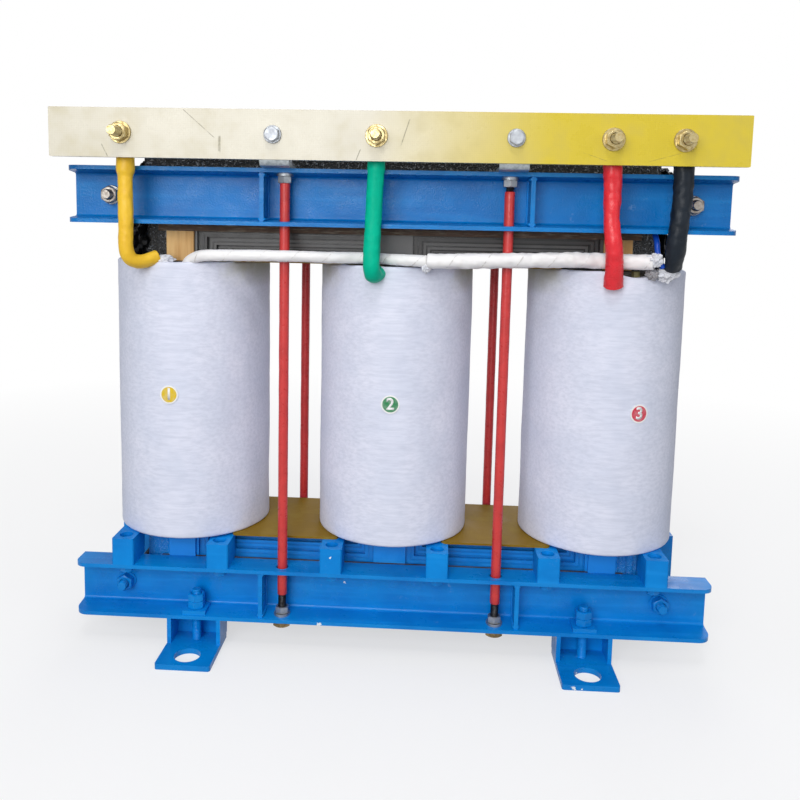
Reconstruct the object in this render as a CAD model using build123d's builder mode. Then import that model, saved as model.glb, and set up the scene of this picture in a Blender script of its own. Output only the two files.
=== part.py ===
"""Open-frame three-phase dry type transformer.

A stepped three-limb core stands between two pairs of rolled channels, which four long tie rods
and four cross bolts pull together. Three round coils sit on blocks and thin boards over the
lower channels. Each lower channel stands on two welded feet, and a long insulating board on two
angle brackets carries the four terminals in front of the upper channels.

Frame: +X along the row of coils, -Y the terminal side, +Z up, millimetres. The origin is on the
floor, midway between the four foot holes.
"""

import os
from math import radians, sqrt, tan

from build123d import *

os.makedirs("parts", exist_ok=True)

FRONT, REAR = -1, 1
SIDES = (FRONT, REAR)

# ---------------------------------------------------------------- driving dimensions
# Core: packets of laminations inside one circle, the widest in the middle
limb_pitch = 315.5
core_circle = 160.0
packet_widths = (124.0, 114.0, 98.0, 74.0, 48.0)
window_height = 425.0

# Clamps: rolled channel with tapered flanges, web against the core
clamp_overhang = 89.5
clamp_height = 80.0
flange_width = 43.0
web_t = 5.0
flange_tip_t = 5.6
flange_taper = 0.1
root_radius = 4.0
tip_radius = 2.5
flange_corner = 18.0
gauge = 25.0
lower_yoke_rise = 35.0
upper_yoke_drop = 43.0
upper_yoke_extra = 16.0
yoke_insulation_t = 4.5
strip_drop = 10.0
strip_margin = 5.0
strip_overlap = 8.0
gusset_x = 188.0
gusset_t = 6.0
gusset_setback = 3.0

# Coils
coil_od = 233.0
coil_end_gap = 10.0
outer_winding_t = 12.5
duct_t = 8.0
inner_winding_t = 12.0
duct_stick_count = 14
duct_stick_width = 9.0
duct_clearance = 0.2
winding_round = 3.0
coil_board_t = 3.0
coil_board_width = 161.0
coil_board_depth = 172.0
coil_board_corner = 8.0

# Blocks under the coils, set by hand, so the two of a coil stand at uneven distances
block_offsets = ((-77.0, 64.0), (-84.0, 71.0), (-84.0, 69.0))
block_width = 32.0
block_depth = 50.0
block_height = 37.0
block_chamfer = 1.5
block_screw_d = 10.0
block_screw_head_d = 16.0
block_screw_head_h = 8.0
block_screw_socket_af = 8.0
block_counterbore_d = 20.0
block_counterbore_depth = 14.0
block_nut_af = 16.0
block_nut_h = 8.0

# Battens between the outer limbs and their windings
batten_width = 40.0
batten_t = 5.0

# Feet
foot_end_distance = 180.0
foot_height = 46.0
foot_width = 80.0
foot_plate_t = 8.0
foot_reach = 60.0
foot_wall_t = 6.0
foot_hole_d = 38.0
foot_hole_setback = 28.0
foot_corner = 4.0
foot_stud_d = 14.0
foot_nut_af = 22.0
foot_nut_h = 11.0
foot_stud_tip = 6.0
taper_washer_width = 34.0
taper_washer_t = 3.0
taper_washer_gap = 0.3

# Tie rods from clamp to clamp
rod_x = 157.5
rod_d = 12.0
rod_head_af = 24.0
rod_head_h = 10.0
rod_nut_af = 18.0
rod_nut_h = 10.0
rod_washer_od = 24.0
rod_washer_t = 2.5
rod_tip = 8.0
sleeve_od = 14.6
sleeve_bore_d = 12.4
sleeve_lower_height = 38.0
sleeve_upper_depth = 26.0
sleeve_hole_d = 18.0
bolt_clearance = 1.5

# Cross bolts beyond the ends of the core
upper_cross_gap = 36.5
lower_cross_gap = 22.5
cross_d = 14.0
cross_nut_af = 22.0
cross_nut_h = 12.0
cross_washer_od = 28.0
cross_washer_t = 2.5
cross_tip = 10.0

# Terminal board, its brackets and its studs
board_length = 932.0
board_offset_x = -5.0
board_height = 66.0
board_t = 10.0
board_gap = 9.0
board_standoff = 28.0
board_corner = 1.5
bracket_xs = (-165.0, 158.0)
bracket_width = 40.0
bracket_t = 5.0
bracket_inner_reach = 38.0
bracket_rise = 66.0
bracket_bolt_d = 12.0
bracket_head_af = 18.0
bracket_head_h = 8.0
bracket_head_turn = 15.0
bracket_washer_t = 2.5
terminal_xs = (-372.0, -26.0, 284.0, 376.0)
terminal_d = 14.0
terminal_shank_d = 13.4
terminal_shank_end = 1.0
terminal_tip_chamfer = 1.2
terminal_nut_af = 22.0
terminal_nut_h = 11.0
terminal_washer_od = 30.0
terminal_washer_t = 2.5
terminal_front_reach = 34.0
lug_width = 26.0
lug_corner = 12.0
lug_t = 4.0
lug_above = 14.0
lug_palm_drop = 16.0
lug_barrel_d = 17.0
lug_barrel_length = 10.0

# Leads
yellow_d = 22.0
green_d = 23.0
red_d = 25.0
black_d = 27.0
neutral_thin_d = 16.0
neutral_thick_d = 23.0
lead_gap = 0.3
lead_drop = 45.0
lead_bend_share = 0.45

fit_gap = 0.1

# ---------------------------------------------------------------- derived levels and lines
core_r = core_circle / 2
packet_depths = [sqrt(core_r**2 - (width / 2) ** 2) for width in packet_widths]
core_half_depth = packet_depths[-1]
core_end = limb_pitch + packet_widths[0] / 2
clamp_back = core_half_depth + yoke_insulation_t
web_face = clamp_back + web_t
clamp_tip = clamp_back + flange_width
rod_line = clamp_back + gauge
flange_root_t = flange_tip_t + flange_taper * (clamp_tip - web_face)
clamp_length = 2 * (core_end + clamp_overhang)
foot_x = clamp_length / 2 - foot_end_distance
upper_cross_x = core_end + upper_cross_gap
lower_cross_x = core_end + lower_cross_gap

lower_clamp_z = foot_height
lower_clamp_top = lower_clamp_z + clamp_height
window_bottom = lower_clamp_top + lower_yoke_rise
window_top = window_bottom + window_height
upper_clamp_z = window_top + upper_yoke_drop
upper_clamp_top = upper_clamp_z + clamp_height
lower_yoke_z = window_bottom - packet_widths[0] / 2
upper_yoke_z = window_top + packet_widths[0] / 2

coil_base = lower_clamp_top + block_height + coil_board_t
coil_top = window_top - coil_end_gap
coil_height = coil_top - coil_base
coil_r = coil_od / 2
duct_outer_r = coil_r - outer_winding_t
duct_inner_r = duct_outer_r - duct_t
bore_r = duct_inner_r - inner_winding_t
coil_xs = (-limb_pitch, 0.0, limb_pitch)
coil_names = ("a", "b", "c")

board_back = clamp_tip + board_standoff
board_front = board_back + board_t
board_bottom = upper_clamp_top + board_gap
terminal_z = board_bottom + board_height / 2
bracket_back = board_back - bracket_t
lead_line = board_back - black_d / 2 - lead_gap
lug_bottom = terminal_z - lug_palm_drop - lug_barrel_length

foot_front = clamp_tip + foot_reach
foot_hole_y = foot_front - foot_hole_setback
bracket_leg_top = upper_clamp_top + bracket_t


def flange_t(y):
    """Thickness of a tapered flange at distance y from the core's middle plane."""
    return flange_tip_t + flange_taper * (clamp_tip - y)


def write(part, label):
    """Label a finished piece and write it under its own name."""
    part.label = label
    export_step(part, f"parts/{label}.step")


# ---------------------------------------------------------------- core
with BuildPart() as core_frame:
    inner = 0.0
    for width, outer in zip(packet_widths, packet_depths):
        for side in SIDES:
            with BuildSketch(Plane.XZ.offset(-side * inner)):
                with Locations((0, lower_yoke_z)):
                    Rectangle(2 * limb_pitch + width, width)
                limb_top = upper_yoke_z - width / 2
                for x in coil_xs:
                    with Locations((x, lower_yoke_z)):
                        Rectangle(width, limb_top - lower_yoke_z, align=(Align.CENTER, Align.MIN))
            extrude(amount=-side * (outer - inner))
        inner = outer
write(core_frame.part, "core_frame")

with BuildPart() as upper_yoke:
    inner = 0.0
    for width, outer in zip(packet_widths, packet_depths):
        for side in SIDES:
            with BuildSketch(Plane.XZ.offset(-side * inner)):
                with Locations((0, upper_yoke_z + upper_yoke_extra / 2)):
                    Rectangle(2 * limb_pitch + width, width + upper_yoke_extra)
            extrude(amount=-side * (outer - inner))
        inner = outer
write(upper_yoke.part, "upper_yoke")


# ---------------------------------------------------------------- clamps
def make_clamp(side, base_z, cross_x, top_holes, bottom_holes):
    """One rolled channel with its welded gussets and its holes, web back on the core side.

    top_holes and bottom_holes list the (x, diameter) of the holes along the gauge line.
    """
    top_z = base_z + clamp_height
    back, face, tip = side * clamp_back, side * web_face, side * clamp_tip
    with BuildPart() as clamp:
        with BuildSketch(Plane.YZ.offset(-clamp_length / 2)) as section:
            with BuildLine():
                Polyline(
                    (back, base_z),
                    (tip, base_z),
                    (tip, base_z + flange_tip_t),
                    (face, base_z + flange_root_t),
                    (face, top_z - flange_root_t),
                    (tip, top_z - flange_tip_t),
                    (tip, top_z),
                    (back, top_z),
                    close=True,
                )
            make_face()
            levels = section.vertices().group_by(Axis.Y)
            inner_tips, roots = levels[1] + levels[-2], levels[2] + levels[-3]
            fillet(roots, root_radius)
            fillet(inner_tips, tip_radius)
        extrude(amount=clamp_length)
        with BuildSketch(Plane.XY.offset(base_z)):
            with Locations((0, (back + tip) / 2)):
                Rectangle(clamp_length, flange_width)
        outline = extrude(amount=clamp_height, mode=Mode.PRIVATE)
        corners = outline.edges().filter_by(Axis.Z).sort_by(Axis.Y)
        outer_corners = corners[:2] if side == FRONT else corners[-2:]
        add(outline.fillet(flange_corner, outer_corners), mode=Mode.INTERSECT)
        gusset_depth = clamp_tip - gusset_setback - web_face
        gusset_height = clamp_height - flange_tip_t
        for x in (-gusset_x, gusset_x):
            with Locations((x, side * (web_face + gusset_depth / 2), base_z + clamp_height / 2)):
                Box(gusset_t, gusset_depth, gusset_height)
        for z, holes in ((top_z, top_holes), (base_z, bottom_holes)):
            for x, diameter in holes:
                with Locations((x, side * rod_line, z)):
                    Cylinder(diameter / 2, 2 * flange_root_t, mode=Mode.SUBTRACT)
        with BuildSketch(Plane.XZ):
            with Locations((-cross_x, base_z + clamp_height / 2), (cross_x, base_z + clamp_height / 2)):
                Circle((cross_d + bolt_clearance) / 2)
        extrude(amount=-side * (web_face + fit_gap), mode=Mode.SUBTRACT)
    return clamp.part


rod_hole_d = rod_d + bolt_clearance
block_xs = [x + offset for x, offsets in zip(coil_xs, block_offsets) for offset in offsets]
block_hole_d = block_screw_d + bolt_clearance
foot_stud_hole_d = foot_stud_d + bolt_clearance
lower_top_holes = [(x, sleeve_hole_d) for x in (-rod_x, rod_x)] + [(x, block_hole_d) for x in block_xs]
lower_bottom_holes = [(x, rod_hole_d) for x in (-rod_x, rod_x)] + [
    (x, foot_stud_hole_d) for x in (-foot_x, foot_x)
]
upper_top_holes = [(x, rod_hole_d) for x in (-rod_x, rod_x)]
upper_bottom_holes = [(x, sleeve_hole_d) for x in (-rod_x, rod_x)]
for side, place in ((FRONT, "front"), (REAR, "rear")):
    write(
        make_clamp(side, lower_clamp_z, lower_cross_x, lower_top_holes, lower_bottom_holes),
        f"lower_clamp_{place}",
    )
    write(
        make_clamp(side, upper_clamp_z, upper_cross_x, upper_top_holes, upper_bottom_holes),
        f"upper_clamp_{place}",
    )


# ---------------------------------------------------------------- insulation strips and battens
def make_plate(x_range, y_range, z_range, corner):
    """A flat plate between limits, with rounded upright corners."""
    with BuildPart() as plate:
        with BuildSketch(Plane.XY.offset(z_range[0])):
            with Locations((sum(x_range) / 2, sum(y_range) / 2)):
                RectangleRounded(x_range[1] - x_range[0], y_range[1] - y_range[0], corner)
        extrude(amount=z_range[1] - z_range[0])
    return plate.part


def span(side, near, far):
    """Sorted Y limits of a piece that lies between two distances from the middle plane."""
    return tuple(sorted((side * near, side * far)))


strip_half = limb_pitch + packet_widths[-1] / 2 + strip_overlap
strip_levels = {
    "lower": (lower_clamp_z + strip_margin, lower_clamp_top),
    "upper": (upper_clamp_z - strip_drop, upper_clamp_top - strip_margin),
}
for level, (low, high) in strip_levels.items():
    with BuildPart() as strips:
        for side in SIDES:
            with Locations((0, side * (core_half_depth + clamp_back) / 2, (low + high) / 2)):
                Box(2 * strip_half, yoke_insulation_t, high - low)
    write(strips.part, f"{level}_yoke_insulation")

batten_low = strip_levels["lower"][1] + fit_gap
batten_high = strip_levels["upper"][0] - fit_gap
with BuildPart() as battens:
    for x in (-limb_pitch, limb_pitch):
        for side in SIDES:
            with Locations((x, side * (core_half_depth + batten_t / 2), (batten_low + batten_high) / 2)):
                Box(batten_width, batten_t, batten_high - batten_low)
write(battens.part, "limb_battens")


# ---------------------------------------------------------------- coils
def make_winding(x, outer_r, inner_r):
    """A round winding about a limb, with softly rounded end corners."""
    with BuildPart() as winding:
        with BuildSketch(Plane.XZ) as half:
            with Locations((x + inner_r, coil_base)):
                Rectangle(outer_r - inner_r, coil_height, align=Align.MIN)
            fillet(half.vertices().group_by(Axis.X)[-1], winding_round)
        revolve(axis=Axis((x, 0, 0), (0, 0, 1)))
    return winding.part


for name, x in zip(coil_names, coil_xs):
    write(make_winding(x, coil_r, duct_outer_r), f"outer_winding_{name}")
    write(make_winding(x, duct_inner_r, bore_r), f"inner_winding_{name}")
    with BuildPart() as sticks:
        with BuildSketch(Plane.XY.offset(coil_base)):
            with Locations((x, 0)):
                with PolarLocations((duct_outer_r + duct_inner_r) / 2, duct_stick_count):
                    Rectangle(2 * duct_t, duct_stick_width)
                Circle(duct_outer_r - duct_clearance, mode=Mode.INTERSECT)
                Circle(duct_inner_r + duct_clearance, mode=Mode.SUBTRACT)
        extrude(amount=coil_height)
    write(sticks.part, f"duct_sticks_{name}")

# ---------------------------------------------------------------- blocks and boards at the coil ends
block_middle = clamp_tip - block_depth / 2
outermost = (min(block_xs), max(block_xs))
for name, x, offsets in zip(coil_names, coil_xs, block_offsets):
    with BuildPart() as blocks:
        for offset in offsets:
            # The two end blocks carry their coils directly, the others through a board
            height = block_height + (coil_board_t if x + offset in outermost else 0.0)
            for side in SIDES:
                with BuildSketch(Plane.XY.offset(lower_clamp_top)):
                    with Locations((x + offset, side * block_middle)):
                        Rectangle(block_width, block_depth)
                extrude(amount=height)
                with Locations((x + offset, side * rod_line, lower_clamp_top + height)):
                    CounterBoreHole(
                        block_hole_d / 2, block_counterbore_d / 2, block_counterbore_depth, height
                    )
        upright = blocks.edges().filter_by(GeomType.LINE).filter_by(Axis.Z)
        chamfer(upright.filter_by(lambda edge: abs(edge.center().Y) > block_middle), block_chamfer)
    write(blocks.part, f"support_blocks_{name}")

board_depth_range = (-coil_board_depth / 2, coil_board_depth / 2)
for name, middle in (("ab", -limb_pitch / 2), ("bc", limb_pitch / 2)):
    board_x_range = (middle - coil_board_width / 2, middle + coil_board_width / 2)
    for place, board_z in (("bottom", coil_base - coil_board_t), ("top", coil_top)):
        board_z_range = (board_z, board_z + coil_board_t)
        write(
            make_plate(board_x_range, board_depth_range, board_z_range, coil_board_corner),
            f"{place}_board_{name}",
        )


# ---------------------------------------------------------------- feet
def make_foot(x, side):
    """A welded foot: floor plate with its large hole, two side walls and a back wall."""
    wall_y = span(side, clamp_back, clamp_tip)
    with BuildPart() as foot:
        with BuildSketch(Plane.XY) as floor_plate:
            with Locations((x, side * (clamp_back + foot_front) / 2)):
                RectangleRounded(foot_width, foot_front - clamp_back, foot_corner)
            with Locations((x, side * foot_hole_y)):
                Circle(foot_hole_d / 2, mode=Mode.SUBTRACT)
        extrude(amount=foot_plate_t)
        with BuildSketch(Plane.XY.offset(foot_plate_t)):
            for sign in (-1, 1):
                with Locations((x + sign * (foot_width - foot_wall_t) / 2, sum(wall_y) / 2)):
                    Rectangle(foot_wall_t, flange_width)
            with Locations((x, side * (clamp_back + foot_wall_t / 2))):
                Rectangle(foot_width, foot_wall_t)
        extrude(amount=foot_height - foot_plate_t)
    return foot.part


for side, place in ((FRONT, "front"), (REAR, "rear")):
    for x, hand in ((-foot_x, "left"), (foot_x, "right")):
        write(make_foot(x, side), f"foot_{place}_{hand}")


# ---------------------------------------------------------------- fasteners
def upright_prisms(places, af, height, bore_d=0.0):
    """Hexagonal nuts or heads standing on (x, y, z) places, bored where bore_d isn't zero."""
    with BuildPart() as prisms:
        for x, y, z in places:
            with BuildSketch(Plane.XY.offset(z)):
                with Locations((x, y)):
                    RegularPolygon(af / 2, 6, major_radius=False)
                    if bore_d:
                        Circle(bore_d / 2, mode=Mode.SUBTRACT)
            extrude(amount=height)
    return prisms.part


def cross_prisms(places, af, height, bore_d=0.0):
    """Hexagonal nuts or heads on (x, y, z) places, reaching outward along Y from each place."""
    with BuildPart() as prisms:
        for x, y, z in places:
            with BuildSketch(Plane.XZ.offset(-y)):
                with Locations((x, z)):
                    RegularPolygon(af / 2, 6, major_radius=False, rotation=30)
                    if bore_d:
                        Circle(bore_d / 2, mode=Mode.SUBTRACT)
            extrude(amount=height if y < 0 else -height)
    return prisms.part


def cross_rings(places, outer_d, inner_d, thickness):
    """Round washers on (x, y, z) places, reaching outward along Y from each place."""
    with BuildPart() as rings:
        for x, y, z in places:
            with BuildSketch(Plane.XZ.offset(-y)):
                with Locations((x, z)):
                    Circle(outer_d / 2)
                    Circle(inner_d / 2, mode=Mode.SUBTRACT)
            extrude(amount=thickness if y < 0 else -thickness)
    return rings.part


rod_places = [(x, side * rod_line) for side in SIDES for x in (-rod_x, rod_x)]
rod_seat = flange_t(rod_line) + rod_washer_t
rod_head_z = lower_clamp_z - rod_head_h
rod_top = {FRONT: bracket_leg_top + rod_nut_h + rod_tip, REAR: upper_clamp_top + rod_nut_h + rod_tip}
with BuildPart() as tie_rods:
    for x, y in rod_places:
        with BuildSketch(Plane.XY.offset(rod_head_z)):
            with Locations((x, y)):
                RegularPolygon(rod_head_af / 2, 6, major_radius=False)
        extrude(amount=rod_head_h)
        with BuildSketch(Plane.XY.offset(rod_head_z)):
            with Locations((x, y)):
                Circle(rod_d / 2)
        extrude(amount=rod_top[FRONT if y < 0 else REAR] - rod_head_z)
write(tie_rods.part, "tie_rods")

with BuildPart() as rod_sleeves:
    sleeve_low = lower_clamp_z + sleeve_lower_height
    sleeve_high = upper_clamp_top - sleeve_upper_depth
    with BuildSketch(Plane.XY.offset(sleeve_low)):
        with Locations(*rod_places):
            Circle(sleeve_od / 2)
            Circle(sleeve_bore_d / 2, mode=Mode.SUBTRACT)
    extrude(amount=sleeve_high - sleeve_low)
write(rod_sleeves.part, "rod_sleeves")

rod_nut_places = []
for x, y in rod_places:
    rod_nut_places.append((x, y, lower_clamp_z + rod_seat))
    rod_nut_places.append((x, y, upper_clamp_top - rod_seat - rod_nut_h))
    rod_nut_places.append((x, y, bracket_leg_top if y < 0 else upper_clamp_top))
write(upright_prisms(rod_nut_places, rod_nut_af, rod_nut_h, rod_d + 2 * fit_gap), "rod_nuts")


def flange_wedges(base_z):
    """Yield the four tapered flanges of a clamp pair as plain wedges, for cutting washers to fit."""
    for side in SIDES:
        face, tip = side * web_face, side * clamp_tip
        for flange_z, up in ((base_z, 1), (base_z + clamp_height, -1)):
            with BuildPart(mode=Mode.PRIVATE) as wedge:
                with BuildSketch(Plane.YZ.offset(-clamp_length / 2)):
                    with BuildLine():
                        Polyline(
                            (face, flange_z),
                            (tip, flange_z),
                            (tip, flange_z + up * flange_tip_t),
                            (face, flange_z + up * flange_root_t),
                            close=True,
                        )
                    make_face()
                extrude(amount=clamp_length)
            yield wedge.part


lower_wedges = list(flange_wedges(lower_clamp_z))
upper_wedges = list(flange_wedges(upper_clamp_z))

with BuildPart() as rod_washers:
    for x, y in rod_places:
        for low, high in (
            (lower_clamp_z + flange_tip_t, lower_clamp_z + rod_seat),
            (upper_clamp_top - rod_seat, upper_clamp_top - flange_tip_t),
        ):
            with BuildSketch(Plane.XY.offset(low)):
                with Locations((x, y)):
                    Circle(rod_washer_od / 2)
                    Circle(rod_d / 2 + fit_gap, mode=Mode.SUBTRACT)
            extrude(amount=high - low)
    for wedge in lower_wedges + upper_wedges:
        add(wedge, mode=Mode.SUBTRACT)
write(rod_washers.part, "rod_washers")

foot_places = [(x, side * rod_line) for side in SIDES for x in (-foot_x, foot_x)]
foot_washer_near = web_face + root_radius + taper_washer_gap
foot_washer_depth = 2 * (rod_line - foot_washer_near)
foot_washer_top = lower_clamp_z + flange_t(foot_washer_near) + taper_washer_t
with BuildPart() as foot_washers:
    for x, y in foot_places:
        with BuildSketch(Plane.XY.offset(lower_clamp_z + flange_tip_t)):
            with Locations((x, y)):
                Rectangle(taper_washer_width, foot_washer_depth)
                Circle(foot_stud_d / 2 + fit_gap, mode=Mode.SUBTRACT)
        extrude(amount=foot_washer_top - lower_clamp_z - flange_tip_t)
    for wedge in lower_wedges:
        add(wedge, mode=Mode.SUBTRACT)
write(foot_washers.part, "foot_washers")

foot_nut_levels = (foot_washer_top, foot_washer_top + foot_nut_h)
foot_nut_places = [(x, y, z) for x, y in foot_places for z in foot_nut_levels]
write(
    upright_prisms(foot_nut_places, foot_nut_af, foot_nut_h - fit_gap, foot_stud_d + 2 * fit_gap),
    "foot_nuts",
)
with BuildPart() as foot_studs:
    with BuildSketch(Plane.XY.offset(foot_plate_t)):
        with Locations(*foot_places):
            Circle(foot_stud_d / 2)
    extrude(amount=foot_nut_levels[-1] + foot_nut_h + foot_stud_tip - foot_plate_t)
write(foot_studs.part, "foot_studs")

with BuildPart() as block_screws:
    block_nut_z = lower_clamp_top - flange_t(rod_line - block_nut_af / 2) - block_nut_h
    for x in block_xs:
        height = block_height + (coil_board_t if x in outermost else 0.0)
        head_z = lower_clamp_top + height - block_counterbore_depth
        for side in SIDES:
            with BuildSketch(Plane.XY.offset(head_z)):
                with Locations((x, side * rod_line)):
                    Circle(block_screw_head_d / 2)
                    RegularPolygon(
                        block_screw_socket_af / 2, 6, major_radius=False, mode=Mode.SUBTRACT
                    )
            extrude(amount=block_screw_head_h)
            with BuildSketch(Plane.XY.offset(block_nut_z)):
                with Locations((x, side * rod_line)):
                    Circle(block_screw_d / 2)
            extrude(amount=head_z - block_nut_z)
write(block_screws.part, "block_screws")
block_nut_places = [(x, side * rod_line, block_nut_z) for x in block_xs for side in SIDES]
write(
    upright_prisms(block_nut_places, block_nut_af, block_nut_h - fit_gap, block_screw_d + 2 * fit_gap),
    "block_screw_nuts",
)

for level, cross_x, cross_z in (
    ("upper", upper_cross_x, upper_clamp_z + clamp_height / 2),
    ("lower", lower_cross_x, lower_clamp_z + clamp_height / 2),
):
    reach = web_face + cross_washer_t + cross_nut_h + cross_tip
    with BuildPart() as cross_bolts:
        with BuildSketch(Plane.XZ):
            with Locations((-cross_x, cross_z), (cross_x, cross_z)):
                Circle(cross_d / 2)
        extrude(amount=reach, both=True)
    write(cross_bolts.part, f"{level}_cross_bolts")
    seats = [(x, side * web_face, cross_z) for side in SIDES for x in (-cross_x, cross_x)]
    write(
        cross_rings(seats, cross_washer_od, cross_d + 2 * fit_gap, cross_washer_t),
        f"{level}_cross_washers",
    )
    nut_seats = [(x, y + (cross_washer_t if y > 0 else -cross_washer_t), z) for x, y, z in seats]
    write(
        cross_prisms(nut_seats, cross_nut_af, cross_nut_h, cross_d + 2 * fit_gap),
        f"{level}_cross_nuts",
    )

# ---------------------------------------------------------------- terminal board and brackets
with BuildPart() as terminal_board:
    with BuildSketch(Plane.XZ.offset(board_back)):
        with Locations((board_offset_x, terminal_z)):
            RectangleRounded(board_length, board_height, board_corner)
        with Locations(*[(x, terminal_z) for x in terminal_xs]):
            Circle((terminal_d + bolt_clearance) / 2, mode=Mode.SUBTRACT)
        with Locations(*[(x, terminal_z) for x in bracket_xs]):
            Circle((bracket_bolt_d + bolt_clearance) / 2, mode=Mode.SUBTRACT)
    extrude(amount=board_t)
write(terminal_board.part, "terminal_board")

for x, hand in zip(bracket_xs, ("left", "right")):
    rod_at = -rod_x if x < 0 else rod_x
    leg_inner = rod_line - bracket_inner_reach / 2
    with BuildPart() as bracket:
        with BuildSketch(Plane.YZ.offset(x - bracket_width / 2)) as profile:
            with BuildLine():
                Polyline(
                    (-leg_inner, upper_clamp_top),
                    (-board_back, upper_clamp_top),
                    (-board_back, upper_clamp_top + bracket_rise),
                    (-bracket_back, upper_clamp_top + bracket_rise),
                    (-bracket_back, bracket_leg_top),
                    (-leg_inner, bracket_leg_top),
                    close=True,
                )
            make_face()
            heel = profile.vertices().group_by(Axis.Y)[0].sort_by(Axis.X)[0]
            inner_bend = profile.vertices().group_by(Axis.Y)[1].sort_by(Axis.X)[0]
            fillet(heel, 2 * bracket_t)
            fillet(inner_bend, bracket_t)
        extrude(amount=bracket_width)
        with Locations((rod_at, -rod_line, upper_clamp_top)):
            Cylinder(rod_hole_d / 2, 4 * bracket_t, mode=Mode.SUBTRACT)
        with BuildSketch(Plane.XZ.offset(bracket_back - bracket_t)):
            with Locations((x, terminal_z)):
                Circle((bracket_bolt_d + bolt_clearance) / 2)
        extrude(amount=3 * bracket_t, mode=Mode.SUBTRACT)
    write(bracket.part, f"board_bracket_{hand}")

board_bolt_seat = board_front + bracket_washer_t
board_bolt_end = bracket_back - rod_nut_h - fit_gap
with BuildPart() as board_bolts:
    for x in bracket_xs:
        with BuildSketch(Plane.XZ.offset(board_bolt_seat)):
            with Locations((x, terminal_z)):
                RegularPolygon(
                    bracket_head_af / 2, 6, major_radius=False, rotation=bracket_head_turn
                )
        extrude(amount=bracket_head_h)
        with BuildSketch(Plane.XZ.offset(board_bolt_end)):
            with Locations((x, terminal_z)):
                Circle(bracket_bolt_d / 2)
        extrude(amount=board_bolt_seat - board_bolt_end)
write(board_bolts.part, "board_bolts")
board_washer_seats = [(x, -board_front, terminal_z) for x in bracket_xs]
write(
    cross_rings(
        board_washer_seats, rod_washer_od, bracket_bolt_d + 2 * fit_gap, bracket_washer_t
    ),
    "board_bolt_washers",
)
board_nut_seats = [(x, -(bracket_back - rod_nut_h), terminal_z) for x in bracket_xs]
write(
    cross_prisms(board_nut_seats, bracket_head_af, rod_nut_h, bracket_bolt_d + 2 * fit_gap),
    "board_bolt_nuts",
)

# ---------------------------------------------------------------- terminals
terminal_rear = board_back - lug_t - terminal_nut_h
shank_end = board_front + terminal_washer_t + terminal_nut_h + terminal_shank_end
terminal_places = [(x, terminal_z) for x in terminal_xs]
with BuildPart() as terminal_studs:
    with BuildSketch(Plane.XZ.offset(terminal_rear - fit_gap)):
        with Locations(*terminal_places):
            Circle(terminal_shank_d / 2)
    extrude(amount=shank_end - terminal_rear + fit_gap)
    with BuildSketch(Plane.XZ.offset(shank_end)):
        with Locations(*terminal_places):
            Circle(terminal_d / 2)
    extrude(amount=board_front + terminal_front_reach - shank_end)
    tips = terminal_studs.edges().filter_by(GeomType.CIRCLE).group_by(Axis.Y)[0]
    chamfer(tips, terminal_tip_chamfer)
write(terminal_studs.part, "terminal_studs")

washer_seats = [(x, -board_front, terminal_z) for x in terminal_xs]
write(
    cross_rings(washer_seats, terminal_washer_od, terminal_d + 2 * fit_gap, terminal_washer_t),
    "terminal_washers",
)
front_nut_y = board_front + terminal_washer_t
terminal_nut_seats = [(x, -front_nut_y, terminal_z) for x in terminal_xs]
terminal_nut_seats += [(x, -terminal_rear, terminal_z) for x in terminal_xs]
write(
    cross_prisms(terminal_nut_seats, terminal_nut_af, terminal_nut_h, terminal_d + 2 * fit_gap),
    "terminal_nuts",
)

with BuildPart() as lead_lugs:
    for x in terminal_xs:
        with BuildSketch(Plane.XZ.offset(board_back - lug_t)) as palm:
            with Locations((x, terminal_z + (lug_above - lug_palm_drop) / 2)):
                Rectangle(lug_width, lug_above + lug_palm_drop)
            fillet(palm.vertices().group_by(Axis.Y)[-1], lug_corner)
            with Locations((x, terminal_z)):
                Circle(terminal_d / 2 + fit_gap, mode=Mode.SUBTRACT)
        extrude(amount=lug_t)
        with BuildSketch(Plane.XY.offset(lug_bottom)):
            with Locations((x, -lead_line)):
                Circle(lug_barrel_d / 2)
            with Locations((x, -(board_back + lead_line) / 2)):
                Rectangle(lug_barrel_d, board_back - lead_line)
        extrude(amount=lug_barrel_length + fit_gap)
write(lead_lugs.part, "lead_lugs")


# ---------------------------------------------------------------- leads
def bend_radii(points):
    """The largest soft bend for each corner of a lead, from its shorter run and its turn."""
    corners = [Vector(*point) for point in points]
    radii = []
    for before, corner, after in zip(corners, corners[1:], corners[2:]):
        shorter = min((corner - before).length, (after - corner).length)
        turn = (corner - before).get_angle(after - corner)
        radii.append(lead_bend_share * shorter / tan(radians(turn / 2)))
    return radii


def make_lead(points, diameter, coil_x=None):
    """A lead along straight runs joined by tangent arcs, trimmed where it enters its coil."""
    radii = bend_radii(points)
    print("lead bends", [round(radius) for radius in radii])
    with BuildPart() as lead:
        with BuildLine() as route:
            FilletPolyline(*points, radius=radii)
        with BuildSketch(Plane(origin=points[0], z_dir=route.line % 0)):
            Circle(diameter / 2)
        sweep()
        if coil_x is not None:
            with Locations((coil_x, 0, coil_base)):
                Cylinder(
                    coil_r + lead_gap,
                    coil_height + lead_gap,
                    align=(Align.CENTER, Align.CENTER, Align.MIN),
                    mode=Mode.SUBTRACT,
                )
        kept = lead.solids().sort_by(SortBy.VOLUME)[-1]
        add(kept, mode=Mode.INTERSECT)
    return lead.part


lead_top = lug_bottom - fit_gap


def phase_points(terminal_x, *lower_points):
    """Route of a lead that hangs from its terminal, with the lower points' heights over the coils."""
    hung = [(terminal_x, -lead_line, lead_top), (terminal_x, -lead_line, lead_top - lead_drop)]
    return hung + [(x, y, coil_top + rise) for x, y, rise in lower_points]


def neutral_points(*points):
    """Route of a neutral lead, with its heights over the coils."""
    return [(x, y, coil_top + rise) for x, y, rise in points]


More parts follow.
